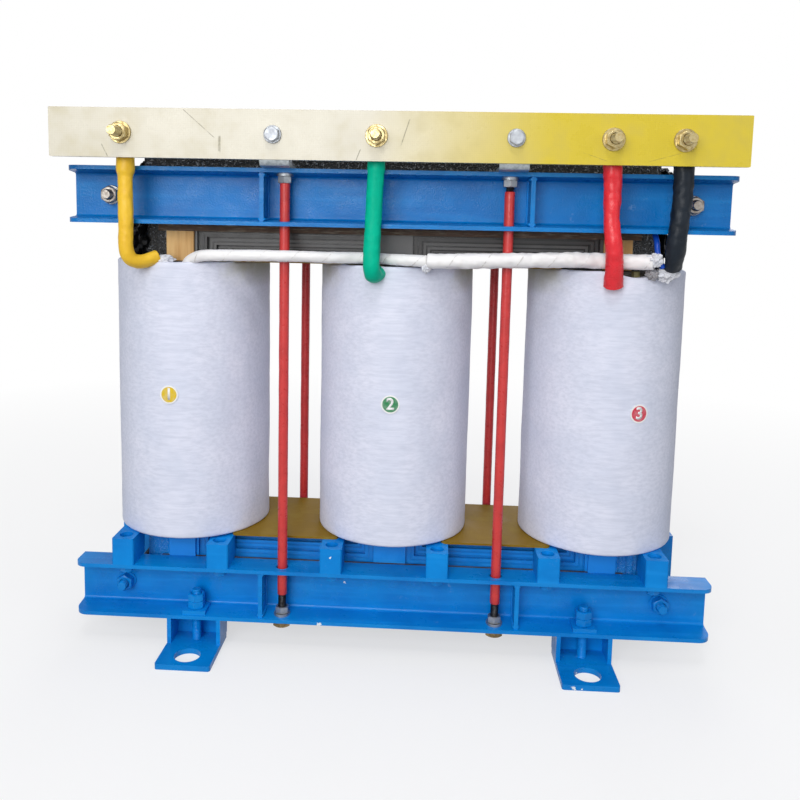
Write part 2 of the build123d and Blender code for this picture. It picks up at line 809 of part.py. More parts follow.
yellow_points = phase_points(terminal_xs[0], (-378.0, -137.0, 30.0), (-352.0, -103.0, -2.0))
green_points = phase_points(terminal_xs[1], (-30.0, -137.5, 36.0), (-28.0, -100.0, -28.0))
red_points = phase_points(terminal_xs[2], (298.0, -142.3, 30.0), (301.0, -100.0, -40.0))
black_points = phase_points(terminal_xs[3], (375.0, -141.0, 14.0), (346.0, -125.0, 14.0))
thin_points = neutral_points(
    (-302.0, -96.0, -6.0),
    (-290.0, -110.0, 8.8),
    (-240.0, -124.0, 11.0),
    (-157.0, -125.5, 12.0),
    (-92.0, -113.0, 10.5),
    (-29.0, -88.0, 10.0),
    (9.0, -119.0, 9.0),
    (45.0, -123.0, 9.0),
)
thick_points = neutral_points(
    (45.2, -123.02, 9.0),
    (81.0, -127.0, 9.0),
    (157.0, -127.5, 12.5),
    (230.0, -117.0, 14.0),
    (299.6, -99.4, 14.0),
    (345.8, -124.89, 14.0),
)
write(make_lead(yellow_points, yellow_d, -limb_pitch), "lead_yellow")
write(make_lead(green_points, green_d, 0.0), "lead_green")
write(make_lead(red_points, red_d, limb_pitch), "lead_red")
write(make_lead(black_points, black_d), "lead_black")
write(make_lead(thin_points, neutral_thin_d, -limb_pitch), "neutral_lead_a")
write(make_lead(thick_points, neutral_thick_d), "neutral_lead_bc")
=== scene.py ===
"""Looks of an open-frame dry type transformer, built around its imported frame.

The frame gives the core, clamps, coils, boards, feet and fasteners at their real size. This script
gives each of them its finish, and makes the pieces that show more than a plain solid can: wrapped
coils, threaded studs, chamfered nuts, shrink sleeves and the leads. Metres, +X along the row of
coils, -Y the terminal side, +Z up, with the origin on the floor between the foot holes.
"""

import logging
from dataclasses import dataclass, field
from enum import Enum
from functools import partial
from itertools import product
from math import cos, pi, radians, sin, sqrt, tau
from typing import Any, Callable, Iterable, Sequence

import bmesh
import bpy
from mathutils import Matrix, Vector, noise

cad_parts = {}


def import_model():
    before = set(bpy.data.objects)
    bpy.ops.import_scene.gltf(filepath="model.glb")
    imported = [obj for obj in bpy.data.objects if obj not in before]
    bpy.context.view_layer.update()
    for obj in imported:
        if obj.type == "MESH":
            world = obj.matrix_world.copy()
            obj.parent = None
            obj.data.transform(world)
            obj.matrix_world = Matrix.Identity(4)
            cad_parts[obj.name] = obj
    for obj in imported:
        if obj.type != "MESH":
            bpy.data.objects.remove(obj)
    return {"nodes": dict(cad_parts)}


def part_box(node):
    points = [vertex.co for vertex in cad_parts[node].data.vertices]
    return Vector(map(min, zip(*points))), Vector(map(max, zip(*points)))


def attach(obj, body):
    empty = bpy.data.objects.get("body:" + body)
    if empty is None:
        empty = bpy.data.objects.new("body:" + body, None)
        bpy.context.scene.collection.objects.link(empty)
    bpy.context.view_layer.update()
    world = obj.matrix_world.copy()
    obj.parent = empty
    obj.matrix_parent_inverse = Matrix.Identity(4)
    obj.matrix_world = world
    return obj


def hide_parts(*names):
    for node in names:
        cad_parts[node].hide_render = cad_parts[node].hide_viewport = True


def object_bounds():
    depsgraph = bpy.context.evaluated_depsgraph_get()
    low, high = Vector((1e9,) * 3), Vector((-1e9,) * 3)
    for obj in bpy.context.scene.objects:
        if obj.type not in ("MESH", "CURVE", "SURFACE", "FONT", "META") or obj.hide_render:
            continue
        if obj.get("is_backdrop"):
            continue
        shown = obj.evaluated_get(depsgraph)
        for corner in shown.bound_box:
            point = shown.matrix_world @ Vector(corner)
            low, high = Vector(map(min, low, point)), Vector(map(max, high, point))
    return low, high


LOG = logging.getLogger("transformer")
ROOT = "root"
MM = 0.001
PITCH_12 = 0.00175  # thread pitch of the 12 mm rods and bolts
PITCH_14 = 0.002  # and of the 14 mm ones
Point = tuple[float, float, float]
Colour = tuple[float, float, float, float]


# ---------------------------------------------------------------- finishes
def linear(code: str) -> Colour:
    """Turn an sRGB hex colour into linear values.

    Args:
        code: Six hex digits, with or without a leading #.

    Returns:
        Linear red, green, blue and an alpha of 1.
    """
    digits = code.lstrip("#")
    parts = [int(digits[i : i + 2], 16) / 255 for i in (0, 2, 4)]
    red, green, blue = (p / 12.92 if p <= 0.04045 else ((p + 0.055) / 1.055) ** 2.4 for p in parts)
    return (red, green, blue, 1.0)


def add_node(
    tree: bpy.types.NodeTree,
    kind: str,
    values: dict[Any, Any] | None = None,
    links: dict[Any, bpy.types.NodeSocket] | None = None,
    **settings: Any,
) -> bpy.types.Node:
    """Add one node with its settings, its plain values and its incoming links.

    Args:
        tree: The tree that the node goes into.
        kind: Blender's own name of the node type.
        values: Plain values by socket name or number.
        links: Sockets that feed this node, by socket name or number.
        **settings: Attributes of the node itself.

    Returns:
        The new node.
    """
    node = tree.nodes.new(kind)
    for name, value in settings.items():
        setattr(node, name, value)
    for socket, value in (values or {}).items():
        node.inputs[socket].default_value = value
    for socket, source in (links or {}).items():
        tree.links.new(source, node.inputs[socket])
    return node


def sum_node(tree: bpy.types.NodeTree, operation: str, first: Any, second: Any = 0.0) -> Any:
    """Work out one sum of two values, each a socket or a number."""
    node = add_node(tree, "ShaderNodeMath", operation=operation)
    for socket, value in zip(node.inputs, (first, second)):
        if isinstance(value, bpy.types.NodeSocket):
            tree.links.new(value, socket)
        else:
            socket.default_value = value
    return node.outputs[0]


class Grain(Enum):
    """Which way a surface's marks are drawn out: the share of their size along X, Y and Z."""

    EVEN = (1.0, 1.0, 1.0)
    ALONG_X = (0.08, 1.0, 1.0)
    ALONG_Z = (1.0, 1.0, 0.08)
    SHEETS_IN_Y = (0.004, 1.0, 0.004)


@dataclass
class Weaver:
    """Node helper of one material: its tree, its shader and the place on the piece."""

    tree: bpy.types.NodeTree
    shader: bpy.types.Node
    place: bpy.types.NodeSocket
    cloth: bpy.types.NodeSocket

    def spots(self, size_mm: float, detail: float = 4.0, grain: Grain = Grain.EVEN) -> Any:
        """Noise whose marks are about size_mm across.

        Args:
            size_mm: Width of one mark in millimetres.
            detail: How many finer layers the noise has.
            grain: How the marks are drawn out.

        Returns:
            The noise's grey value, about 0.3 to 0.7.
        """
        drawn = add_node(
            self.tree,
            "ShaderNodeMapping",
            values={"Scale": grain.value},
            links={"Vector": self.place},
        )
        scale = 1.0 / (size_mm * MM)
        spotted = add_node(
            self.tree,
            "ShaderNodeTexNoise",
            values={"Scale": scale, "Detail": detail, "Roughness": 0.6},
            links={"Vector": drawn.outputs["Vector"]},
        )
        return spotted.outputs["Fac"]

    def span(self, source: Any, low: float, high: float, to_low: float, to_high: float) -> Any:
        """Stretch source's values low to high over to_low to to_high, and clamp them."""
        node = add_node(
            self.tree,
            "ShaderNodeMapRange",
            values={"From Min": low, "From Max": high, "To Min": to_low, "To Max": to_high},
            links={"Value": source},
        )
        return node.outputs["Result"]

    def math(self, operation: str, first: Any, second: Any = 0.0) -> Any:
        """One sum of two values, each a socket or a number."""
        return sum_node(self.tree, operation, first, second)

    def mix(self, share: Any, first: Any, second: Any) -> Any:
        """Blend two colours, each a hex code or a socket, by share."""
        node = add_node(self.tree, "ShaderNodeMix", data_type="RGBA", links={0: share})
        for number, value in ((6, first), (7, second)):
            if isinstance(value, str):
                node.inputs[number].default_value = linear(value)
            else:
                self.tree.links.new(value, node.inputs[number])
        return node.outputs[2]

    def axis(self, name: str, source: Any = None) -> Any:
        """The X, Y or Z value of the place on the piece, in metres."""
        parts = add_node(self.tree, "ShaderNodeSeparateXYZ", links={0: source or self.place})
        return parts.outputs[name]

    def lines(self, source: Any, pitch_mm: float, sharp: float = 1.0) -> Any:
        """Even lines across one value: 0 to 1 and back over each pitch."""
        turned = self.math("MULTIPLY", source, tau / (pitch_mm * MM))
        wave = self.math("SINE", turned)
        return self.span(wave, -sharp, sharp, 0.0, 1.0)

    def paint(self, socket: str, source: Any) -> None:
        """Lead a pattern into one socket of the shader."""
        self.tree.links.new(source, self.shader.inputs[socket])

    def relief(self, source: Any, depth_mm: float, under: Any = None) -> Any:
        """Bump of depth_mm from a grey value, on top of another bump if one is given."""
        node = add_node(
            self.tree,
            "ShaderNodeBump",
            values={"Strength": 1.0, "Distance": depth_mm * MM},
            links={"Height": source},
        )
        if under is not None:
            self.tree.links.new(under, node.inputs["Normal"])
        self.paint("Normal", node.outputs["Normal"])
        return node.outputs["Normal"]


@dataclass(frozen=True)
class Finish:
    """A surface finish. A kind of finish adds its own pattern in draw()."""

    name: str
    colour: str
    roughness: float = 0.5
    metallic: float = 0.0
    ior: float | None = None

    def build(self) -> bpy.types.Material:
        """Make the Blender material.

        Returns:
            The material, with the finish's plain values on its shader's own sockets.
        """
        material = bpy.data.materials.new(self.name)
        material.use_nodes = True
        tree = material.node_tree
        shader = tree.nodes["Principled BSDF"]
        shader.inputs["Base Color"].default_value = linear(self.colour)
        shader.inputs["Roughness"].default_value = self.roughness
        shader.inputs["Metallic"].default_value = self.metallic
        if self.ior is not None:
            shader.inputs["IOR"].default_value = self.ior
        where = add_node(tree, "ShaderNodeTexCoord")
        self.draw(Weaver(tree, shader, where.outputs["Object"], where.outputs["UV"]))
        return material

    def draw(self, weave: Weaver) -> None:
        """Add the finish's own pattern."""


@dataclass(frozen=True)
class BrushedEnamel(Finish):
    """Alkyd machine enamel, put on by brush: wavy gloss, thin spots and light specks that are painted glints.
    """

    thin: str = "#1c98ea"
    deep: str = "#0072c4"
    orange_peel: float = 0.12
    chips: tuple[tuple[float, float, float], ...] = ()

    def draw(self, weave: Weaver) -> None:
        """Patches of thin and thick paint, brush lines along the piece, painted glints and the listed white
        chips.
        """
        patches = weave.spots(90.0, 3.0)
        strokes = weave.spots(14.0, 3.0, Grain.ALONG_X)
        worn_and_glinting = weave.spots(24.0, 8.0)
        glint_specks = weave.spots(3.0, 6.0)
        body = weave.mix(weave.span(patches, 0.38, 0.64, 0.0, 0.7), self.colour, self.deep)
        body = weave.mix(weave.span(strokes, 0.52, 0.74, 0.0, 0.55), body, self.thin)
        # Painted glints: clusters of light blue specks stand for the shine of the enamel's skin.
        painted_glints = weave.math(
            "MULTIPLY", weave.span(worn_and_glinting, 0.64, 0.74, 0.0, 0.30), weave.span(glint_specks, 0.50, 0.6, 0.0, 1.0)
        )
        body = weave.mix(painted_glints, body, "#9fc0e2")
        ragged = weave.span(weave.spots(3.5, 4.0), 0.3, 0.7, 0.4, 1.6)
        for x, z, reach in self.chips:
            beside = weave.math("ABSOLUTE", weave.math("SUBTRACT", weave.axis("X"), x))
            above = weave.math("ABSOLUTE", weave.math("SUBTRACT", weave.axis("Z"), z))
            away = weave.math("MULTIPLY", weave.math("MAXIMUM", beside, above), ragged)
            body = weave.mix(weave.span(away, reach * 0.8, reach, 1.0, 0.0), body, "#e8eef4")
        weave.paint("Base Color", body)
        weave.paint("Roughness", weave.span(worn_and_glinting, 0.35, 0.7, self.roughness, self.roughness + 0.22))
        skin = weave.relief(weave.spots(2.6, 2.0), self.orange_peel)
        weave.relief(strokes, 0.30, skin)


@dataclass(frozen=True)
class CoreStack(Finish):
    """Sheared electrical steel sheets in a stack: fine edge lines across its depth.

    The lower part is painted over with the frame's enamel, and the stack's outer ends are dipped in black
    resin, whose light grey specks are painted glints.
    """

    seam: str = "#1d1c1b"
    painted: str = "#0086dc"
    resin: str = "#101113"
    painted_to_z: float = -1.0
    resin_from_x: float = 0.337
    resin_from_z: float = 0.704
    sheet_mm: float = 3.2

    def draw(self, weave: Weaver) -> None:
        """Sheet lines, then the paint up to its line, then the resin on the ends with painted glints."""
        depth = weave.axis("Y")
        height = weave.axis("Z")
        beyond = weave.math("ABSOLUTE", weave.axis("X"))
        sheets = weave.lines(depth, self.sheet_mm, 0.9)
        cloudy = weave.spots(30.0, 4.0)
        streaks = weave.spots(6.0, 5.0, Grain.ALONG_X)
        bare = weave.mix(weave.span(cloudy, 0.35, 0.65, 0.0, 0.6), self.colour, "#686664")
        bare = weave.mix(weave.span(sheets, 0.0, 0.45, 0.75, 0.0), bare, self.seam)
        bare = weave.mix(weave.span(streaks, 0.55, 0.7, 0.0, 0.35), bare, "#5c5650")
        blue = weave.mix(weave.span(sheets, 0.0, 0.4, 0.45, 0.0), self.painted, "#0468b4")
        blue = weave.mix(weave.span(cloudy, 0.4, 0.65, 0.0, 0.5), blue, "#1c98ea")
        wavy = weave.math("ADD", beyond, weave.span(weave.spots(9.0, 5.0), 0.3, 0.7, -0.004, 0.004))
        dipped = weave.span(wavy, self.resin_from_x, self.resin_from_x + 0.002, 0.0, 1.0)
        capped = weave.span(height, self.resin_from_z, self.resin_from_z + 0.003, 0.0, 1.0)
        dipped = weave.math("MAXIMUM", dipped, capped)
        # Painted glints: light grey specks on the black resin stand for the shine of its lumps; the same
        # noise also gives the lumps' bump.
        pits_and_glints = weave.spots(3.2, 5.0)
        black = weave.mix(weave.span(pits_and_glints, 0.57, 0.63, 0.0, 0.75), self.resin, "#9a9ea3")
        top = weave.mix(dipped, bare, black)
        low = weave.span(height, self.painted_to_z - 0.01, self.painted_to_z, 1.0, 0.0)
        weave.paint("Base Color", weave.mix(low, top, blue))
        dull = weave.span(cloudy, 0.3, 0.7, self.roughness - 0.1, self.roughness + 0.1)
        weave.paint("Roughness", weave.math("SUBTRACT", dull, weave.math("MULTIPLY", dipped, 0.22)))
        lumps = weave.math("MULTIPLY", pits_and_glints, dipped)
        weave.relief(sheets, 0.35, weave.relief(lumps, 2.2))


@dataclass(frozen=True)
class CoilWrap(Finish):
    """Polyester fleece tape, wound with laps and dipped in clear varnish: matt, faintly woven."""

    lap_mm: float = 25.0
    thread_mm: float = 1.4
    window_x: float = 0.158

    def draw(self, weave: Weaver) -> None:
        """Threads both ways from the cloth's own map, the laps, patchy tone and painted shade at the top
        between the coils.
        """
        across, along = weave.axis("X", weave.cloth), weave.axis("Y", weave.cloth)
        warp = weave.lines(across, self.thread_mm)
        weft = weave.lines(along, self.thread_mm)
        weaving = weave.math("MULTIPLY", warp, weft)
        laps = weave.span(weave.lines(along, self.lap_mm), 0.9, 1.0, 0.0, 1.0)
        patches = weave.spots(60.0, 4.0)
        fibres = weave.spots(4.0, 6.0, Grain.ALONG_X)
        cloth = weave.mix(weave.span(patches, 0.35, 0.65, 0.0, 0.6), self.colour, "#d3d9ea")
        cloth = weave.mix(weave.span(fibres, 0.4, 0.65, 0.0, 0.45), cloth, "#c6cbdc")
        cloth = weave.mix(weave.span(weaving, 0.0, 1.0, 0.0, 0.16), cloth, "#aeb9cd")
        cloth = weave.mix(weave.span(laps, 0.0, 1.0, 0.0, 0.03), cloth, "#a3aec2")
        # Painted shade: the wrap is painted a darker greenish grey at the top, on the sides that face the
        # core's windows, between the coils.
        beyond = weave.math("ABSOLUTE", weave.axis("X"))
        aside = weave.math("ABSOLUTE", weave.math("SUBTRACT", beyond, self.window_x))
        ragged = weave.math("ADD", aside, weave.span(patches, 0.3, 0.7, -0.02, 0.02))
        wrap_painted_shade = weave.math(
            "MULTIPLY",
            weave.span(ragged, 0.05, 0.09, 1.0, 0.0),
            weave.span(weave.axis("Z"), 0.535, 0.568, 0.0, 0.75),
        )
        weave.paint("Base Color", weave.mix(wrap_painted_shade, cloth, "#a2a488"))
        weave.relief(weaving, 0.04, weave.relief(patches, 0.5, weave.relief(laps, 0.03)))


@dataclass(frozen=True)
class GlassLaminate(Finish):
    """Glass cloth in epoxy, sawn from sheet: glossy face, faint cloth, scribed lines.

    A board's colour runs along it from a pale cream end, which is a painted reflection, to its full colour,
    and saw marks show.
    """

    painted_reflection: str = "#e6e0c4"
    painted_reflection_to_x: float = -0.05
    full_from_x: float = 0.30
    marks: tuple[tuple[float, float, float, float], ...] = ()

    def draw(self, weave: Weaver) -> None:
        """The run of colour, the glass cloth's weave, scribed lines and handled patches."""
        length, height = weave.axis("X"), weave.axis("Z")
        turn = weave.math("ADD", length, weave.span(weave.spots(200.0, 2.0), 0.3, 0.7, -0.03, 0.03))
        # Painted reflection: the board is painted cream towards -X and fades to its full colour.
        run = weave.span(turn, self.painted_reflection_to_x, self.full_from_x, 0.0, 1.0)
        cloudy = weave.spots(35.0, 5.0)
        face = weave.mix(run, self.painted_reflection, self.colour)
        face = weave.mix(weave.span(cloudy, 0.5, 0.8, 0.0, 0.30), face, "#b3a25c")
        weaving = weave.math("MULTIPLY", weave.lines(length, 2.4), weave.lines(height, 2.4))
        face = weave.mix(weave.span(weaving, 0.0, 1.0, 0.0, 0.10), face, "#8f8240")
        broken = weave.span(weave.spots(9.0, 3.0), 0.38, 0.5, 0.15, 0.75)
        for x, z, slope, reach in self.marks:
            off = weave.math("SUBTRACT", length, x)
            rise = weave.math("SUBTRACT", height, z)
            away = weave.math(
                "ABSOLUTE", weave.math("SUBTRACT", off, weave.math("MULTIPLY", rise, slope))
            )
            line = weave.span(away, 0.0003, 0.0011, 1.0, 0.0)
            near = weave.span(weave.math("ABSOLUTE", rise), reach, reach + 0.002, 1.0, 0.0)
            drawn = weave.math("MULTIPLY", weave.math("MULTIPLY", line, near), broken)
            face = weave.mix(drawn, face, "#6f6748")
        weave.paint("Base Color", face)
        weave.paint("Roughness", weave.span(cloudy, 0.3, 0.7, self.roughness, self.roughness + 0.18))
        weave.relief(weaving, 0.03, weave.relief(cloudy, 0.10))


@dataclass(frozen=True)
class PlatedSteel(Finish):
    """Zinc-plated steel: soft metallic gloss with a cloudy tint from the passivation bath."""

    tint: str = "#9a9da3"

    def draw(self, weave: Weaver) -> None:
        """Cloudy tint, fine turning marks and a rougher bloom."""
        cloudy = weave.spots(5.0, 5.0)
        grit = weave.spots(0.9, 3.0)
        weave.paint("Base Color", weave.mix(weave.span(cloudy, 0.4, 0.62, 0.0, 0.75), self.colour, self.tint))
        weave.paint("Roughness", weave.span(cloudy, 0.3, 0.7, self.roughness - 0.06, self.roughness + 0.18))
        weave.relief(grit, 0.04)


@dataclass(frozen=True)
class ShrinkTube(Finish):
    """Polyolefin tube shrunk on with hot air: waxy gloss, small puckers and patches of painted shade."""

    shade: str = "#202020"

    def draw(self, weave: Weaver) -> None:
        """Puckers across the tube, a patchy sheen and patches painted in the shade colour as painted shade.
        """
        pucker = weave.spots(7.0, 4.0)
        cloudy = weave.spots(22.0, 3.0)
        patchy = weave.span(cloudy, 0.42, 0.7, 0.0, 0.45)
        weave.paint("Base Color", weave.mix(patchy, self.colour, self.shade))
        weave.paint("Roughness", weave.span(pucker, 0.3, 0.7, self.roughness - 0.08, self.roughness + 0.16))
        weave.relief(pucker, 0.6, weave.relief(weave.spots(1.8, 3.0), 0.10))


@dataclass(frozen=True)
class ResinAndShadeSeam(Finish):
    """Black lines in the core's steps, partly resin and partly painted shade, under the frame's enamel in its
    lower part.
    """

    painted: str = "#0078c8"
    painted_to_z: float = 0.35

    def draw(self, weave: Weaver) -> None:
        """Black above the paint's line and blue below it, with small drops."""
        height = weave.axis("Z")
        low = weave.span(height, self.painted_to_z - 0.01, self.painted_to_z, 1.0, 0.0)
        weave.paint("Base Color", weave.mix(low, self.colour, self.painted))
        weave.relief(weave.spots(2.5, 3.0), 0.3)


@dataclass(frozen=True)
class GlassSleeve(Finish):
    """White cotton tape, wound in a slant over the joined wires and varnished."""

    lap: float = 0.046

    def draw(self, weave: Weaver) -> None:
        """The slanting lap lines from the sleeve's own map, threads and a little grime."""
        around, along = weave.axis("X", weave.cloth), weave.axis("Y", weave.cloth)
        slant = weave.math("ADD", weave.math("MULTIPLY", along, 1.0 / self.lap), around)
        edge = weave.span(weave.math("PINGPONG", slant, 0.5), 0.0, 0.035, 1.0, 0.0)
        threads = weave.lines(along, 1.1)
        grime = weave.spots(18.0, 5.0)
        cloth = weave.mix(weave.span(grime, 0.55, 0.8, 0.0, 0.4), self.colour, "#d4d0c4")
        broken = weave.span(weave.spots(7.0, 3.0), 0.45, 0.6, 0.0, 0.5)
        cloth = weave.mix(weave.math("MULTIPLY", edge, broken), cloth, "#8d8474")
        weave.paint("Base Color", cloth)
        weave.relief(threads, 0.05, weave.relief(edge, 0.2, weave.relief(grime, 0.8)))


@dataclass(frozen=True)
class Timber(Finish):
    """Planed softwood batten: straight grain lines along the limb and paler early wood.

    Its lower end is under the frame's enamel.
    """

    painted: str = "#0086dc"
    painted_to_z: float = 0.35

    def draw(self, weave: Weaver) -> None:
        """Grain drawn out along Z."""
        grain = weave.spots(3.5, 6.0, Grain.ALONG_Z)
        bands = weave.spots(11.0, 2.0, Grain.ALONG_Z)
        wood = weave.mix(weave.span(grain, 0.4, 0.65, 0.0, 0.8), self.colour, "#c48f4a")
        wood = weave.mix(weave.span(bands, 0.4, 0.6, 0.0, 0.5), wood, "#f2cd8c")
        height = weave.axis("Z")
        low = weave.span(height, self.painted_to_z - 0.01, self.painted_to_z, 1.0, 0.0)
        weave.paint("Base Color", weave.mix(low, wood, self.painted))
        weave.relief(grain, 0.12)


@dataclass(frozen=True)
class Board(Finish):
    """Pressed paper board or wound paper: mottled, dull, with short fibres."""

    flecks: str = "#3a2a1e"

    def draw(self, weave: Weaver) -> None:
        """Mottle and fibres."""
        mottle = weave.spots(12.0, 5.0)
        fibres = weave.spots(2.0, 5.0, Grain.ALONG_X)
        face = weave.mix(weave.span(mottle, 0.35, 0.65, 0.0, 0.6), self.colour, self.flecks)
        weave.paint("Base Color", weave.mix(weave.span(fibres, 0.5, 0.7, 0.0, 0.3), face, "#c9bfa8"))
        weave.relief(fibres, 0.10)


@dataclass(frozen=True)
class StickerPrint(Finish):
    """Printed vinyl: a smooth even colour that picks up the cloth below it."""

    def draw(self, weave: Weaver) -> None:
        """Slight fading and the cloth's threads pressed through."""
        faded = weave.spots(9.0, 3.0)
        weave.paint("Base Color", weave.mix(weave.span(faded, 0.4, 0.7, 0.0, 0.25), self.colour, "#d8d8d8"))
        weave.relief(weave.spots(1.4, 2.0), 0.03)


@dataclass(frozen=True)
class StudioPaper(Finish):
    """Seamless backdrop paper: dull and white, and fading into the white behind it."""

    bounce: str = "#8e8e8e"
    fade_from: float = 0.35
    fade_to: float = 2.2

    def draw(self, weave: Weaver) -> None:
        """White with the object's shadow near by, and even white further off."""
        tree = weave.tree
        path = add_node(tree, "ShaderNodeLightPath")
        seen = weave.math("MAXIMUM", path.outputs["Is Camera Ray"], path.outputs["Is Glossy Ray"])
        seen = weave.math("MAXIMUM", seen, path.outputs["Is Transmission Ray"])
        weave.paint("Base Color", weave.mix(seen, self.bounce, self.colour))
        weave.relief(weave.spots(2.0, 2.0), 0.02)
        away = add_node(
            tree, "ShaderNodeVectorMath", operation="LENGTH", links={0: weave.place}
        )
        faded = weave.span(away.outputs["Value"], self.fade_from, self.fade_to, 0.60, 1.0)
        glow = add_node(tree, "ShaderNodeEmission", values={"Color": linear("#ffffff"), "Strength": 1.0})
        blend = add_node(
            tree,
            "ShaderNodeMixShader",
            links={0: weave.math("MULTIPLY", faded, seen), 1: weave.shader.outputs[0], 2: glow.outputs[0]},
        )
        end = next(node for node in tree.nodes if node.bl_idname == "ShaderNodeOutputMaterial")
        tree.links.new(blend.outputs[0], end.inputs["Surface"])


class Palette:
    """Every finish of the transformer, each made once when first asked for."""

    FINISHES: tuple[Finish, ...] = (
        # Machine enamel on rolled steel: deep wet blue with brush lines, white chips and specks of light
        # painted as glints.
        BrushedEnamel(
            "frame_enamel_brushed", "#0088d8", 0.24, ior=1.35,
            chips=(
                (-0.067, 0.097, 0.0014), (-0.100, 0.047, 0.0024),
                (0.263, 0.003, 0.0022), (0.274, 0.002, 0.0013),
            ),
        ),
        # The upper channels' blue is painted darker as painted shade, and its skin glitters like orange peel.
        BrushedEnamel(
            "upper_enamel_painted_shade", "#007cc8", 0.24, ior=1.36, thin="#1c8cd4", deep="#0066ae",
            orange_peel=0.5,
        ),
        # The same enamel on hardwood blocks: flatter, and painted a little brighter as painted light.
        BrushedEnamel(
            "block_enamel_painted_light", "#008ce0", 0.38, ior=1.3, chips=((-0.0847, 0.150, 0.0013),)
        ),
        # Limbs and lower yoke: enamelled low down, bare grey sheets above, black resin ends.
        CoreStack("core_steel_painted_below", "#525252", 0.40, painted_to_z=0.35),
        # Upper yoke: bare grey sheets that go into black resin at the top.
        CoreStack("core_steel_bare", "#525252", 0.40),
        # Fleece tape in clear varnish: pale blue-grey, matt, with a faint weave.
        CoilWrap("coil_fleece_varnished", "#e8eaf8", 0.6, ior=1.45),
        # Varnished paper inside the coils: nearly black.
        Board("inner_winding_paper", "#35312c", 0.5, flecks="#191715"),
        # Sawn glass-epoxy strips in the ducts: dull olive.
        Board("duct_stick_glass_epoxy", "#7d7448", 0.5, flecks="#3c3722"),
        # Pressboard between core and clamps: dull brown.
        Board("yoke_pressboard", "#5c4433", 0.75),
        # Planed softwood: warm tan.
        Timber("limb_batten_softwood", "#cc9e60", 0.6),
        # Glass-epoxy sheet: glossy and yellow, with a painted reflection that turns one end cream.
        GlassLaminate(
            "terminal_board_glass_epoxy", "#d9c233", 0.22, ior=1.5,
            painted_reflection="#d8d2bf", painted_reflection_to_x=-0.04, full_from_x=0.19,
            marks=(
                (-0.265, 0.764, -1.15, 0.017), (-0.236, 0.737, 0.0, 0.010),
                (-0.2375, 0.738, 0.0, 0.009), (0.012, 0.756, 0.32, 0.016),
                (0.262, 0.728, -3.0, 0.004), (0.352, 0.729, 3.6, 0.005),
                (-0.394, 0.727, -0.5, 0.007), (-0.050, 0.726, 0.4, 0.006),
            ),
        ),
        # The same sheet lying flat between the coils: brown olive under its varnish.
        GlassLaminate(
            "coil_board_glass_epoxy", "#86681c", 0.42, ior=1.15, painted_reflection="#86681c",
            painted_reflection_to_x=8.0, full_from_x=9.0,
        ),
        # Zinc with a yellow passivate: soft straw gold.
        PlatedSteel("zinc_yellow_passivated", "#c6b78a", 0.34, 1.0, tint="#9a8350"),
        # The same, aged on the rod heads: bronze.
        PlatedSteel("zinc_yellow_aged", "#94805a", 0.36, 1.0, tint="#5f4e36"),
        # Zinc gone dull on the cross bolts: warm grey.
        PlatedSteel("zinc_dull_grey", "#a39d96", 0.38, 1.0, tint="#7c7168"),
        # Bright zinc: cold silver.
        PlatedSteel("zinc_bright_plated", "#a9adb1", 0.44, 1.0),
        # Oiled black thread: dark with thin glints.
        PlatedSteel("steel_thread_blackened", "#4a4a4c", 0.40, 1.0, tint="#242427"),
        # Tin on copper: soft grey.
        PlatedSteel("copper_lug_tinned", "#bfc0be", 0.34, 1.0, tint="#8f8f8c"),
        # Galvanised strip: grey with a greenish cloud.
        PlatedSteel("zinc_dipped_strip", "#b4babd", 0.36, 1.0, tint="#8a9396"),
        # Heat-shrunk polyolefin: waxy and puckered, one for each colour.
        ShrinkTube("rod_sleeve_red", "#d03836", 0.30, ior=1.5, shade="#a82523"),
        ShrinkTube("lead_tube_yellow", "#f4c634", 0.36, ior=1.4, shade="#e2ac1c"),
        ShrinkTube("lead_tube_green", "#00bc96", 0.44, ior=1.2, shade="#00a37f"),
        ShrinkTube("lead_tube_red", "#ea2c36", 0.28, ior=1.45, shade="#d01c28"),
        ShrinkTube("lead_tube_black", "#18212b", 0.34, ior=1.3, shade="#0d1217"),
        ShrinkTube("core_wire_blue", "#0b4fc4", 0.36, ior=1.5, shade="#083a96"),
        # Black lines in the steps of the core, partly resin and partly painted shade: wet dark lines,
        # enamelled over low down.
        ResinAndShadeSeam("core_resin_and_shade_seam", "#121213", 0.30, ior=1.5),
        # The same resin in thick drops on the yoke's ends, with lighter patches that are painted glints.
        ShrinkTube("core_resin_lump", "#0e0f11", 0.38, ior=1.4, shade="#1c1e21"),
        # Varnished cotton tape: off white with slanting laps.
        GlassSleeve("neutral_tape_white", "#f4f2f1", 0.46, ior=1.45),
        # Torn fleece and paper at the lead ends: crumpled white and grey.
        Board("torn_fleece_white", "#e2e3e8", 0.7, flecks="#c0c3cc"),
        Board("torn_paper_grey", "#a9a8ac", 0.7, flecks="#77767a"),
        # Printed vinyl discs and numbers: even satin colour.
        StickerPrint("sticker_white", "#f4f4f2", 0.35),
        StickerPrint("sticker_yellow", "#e0bd00", 0.35),
        StickerPrint("sticker_green", "#0f7f45", 0.35),
        StickerPrint("sticker_red", "#cf2440", 0.35),
        # Seamless paper: white, dull, and darker where the object shades it.
        StudioPaper("studio_floor_paper", "#f4f4f4", 0.9),
    )

    def __init__(self) -> None:
        """Index the finishes by name."""
        self.plans = {finish.name: finish for finish in self.FINISHES}
        self.made: dict[str, bpy.types.Material] = {}

    def __getitem__(self, name: str) -> bpy.types.Material:
        """The material of that name, built at its first use."""
        if name not in self.made:
            self.made[name] = self.plans[name].build()
        return self.made[name]


# ---------------------------------------------------------------- reading the frame
@dataclass(frozen=True)
class Box:
    """The lowest and highest corners of one solid."""

    low: Vector
    high: Vector

    @property
    def centre(self) -> Vector:
        """Middle of the box."""
        return (self.low + self.high) / 2

    @property
    def size(self) -> Vector:
        """Its length along each axis."""
        return self.high - self.low


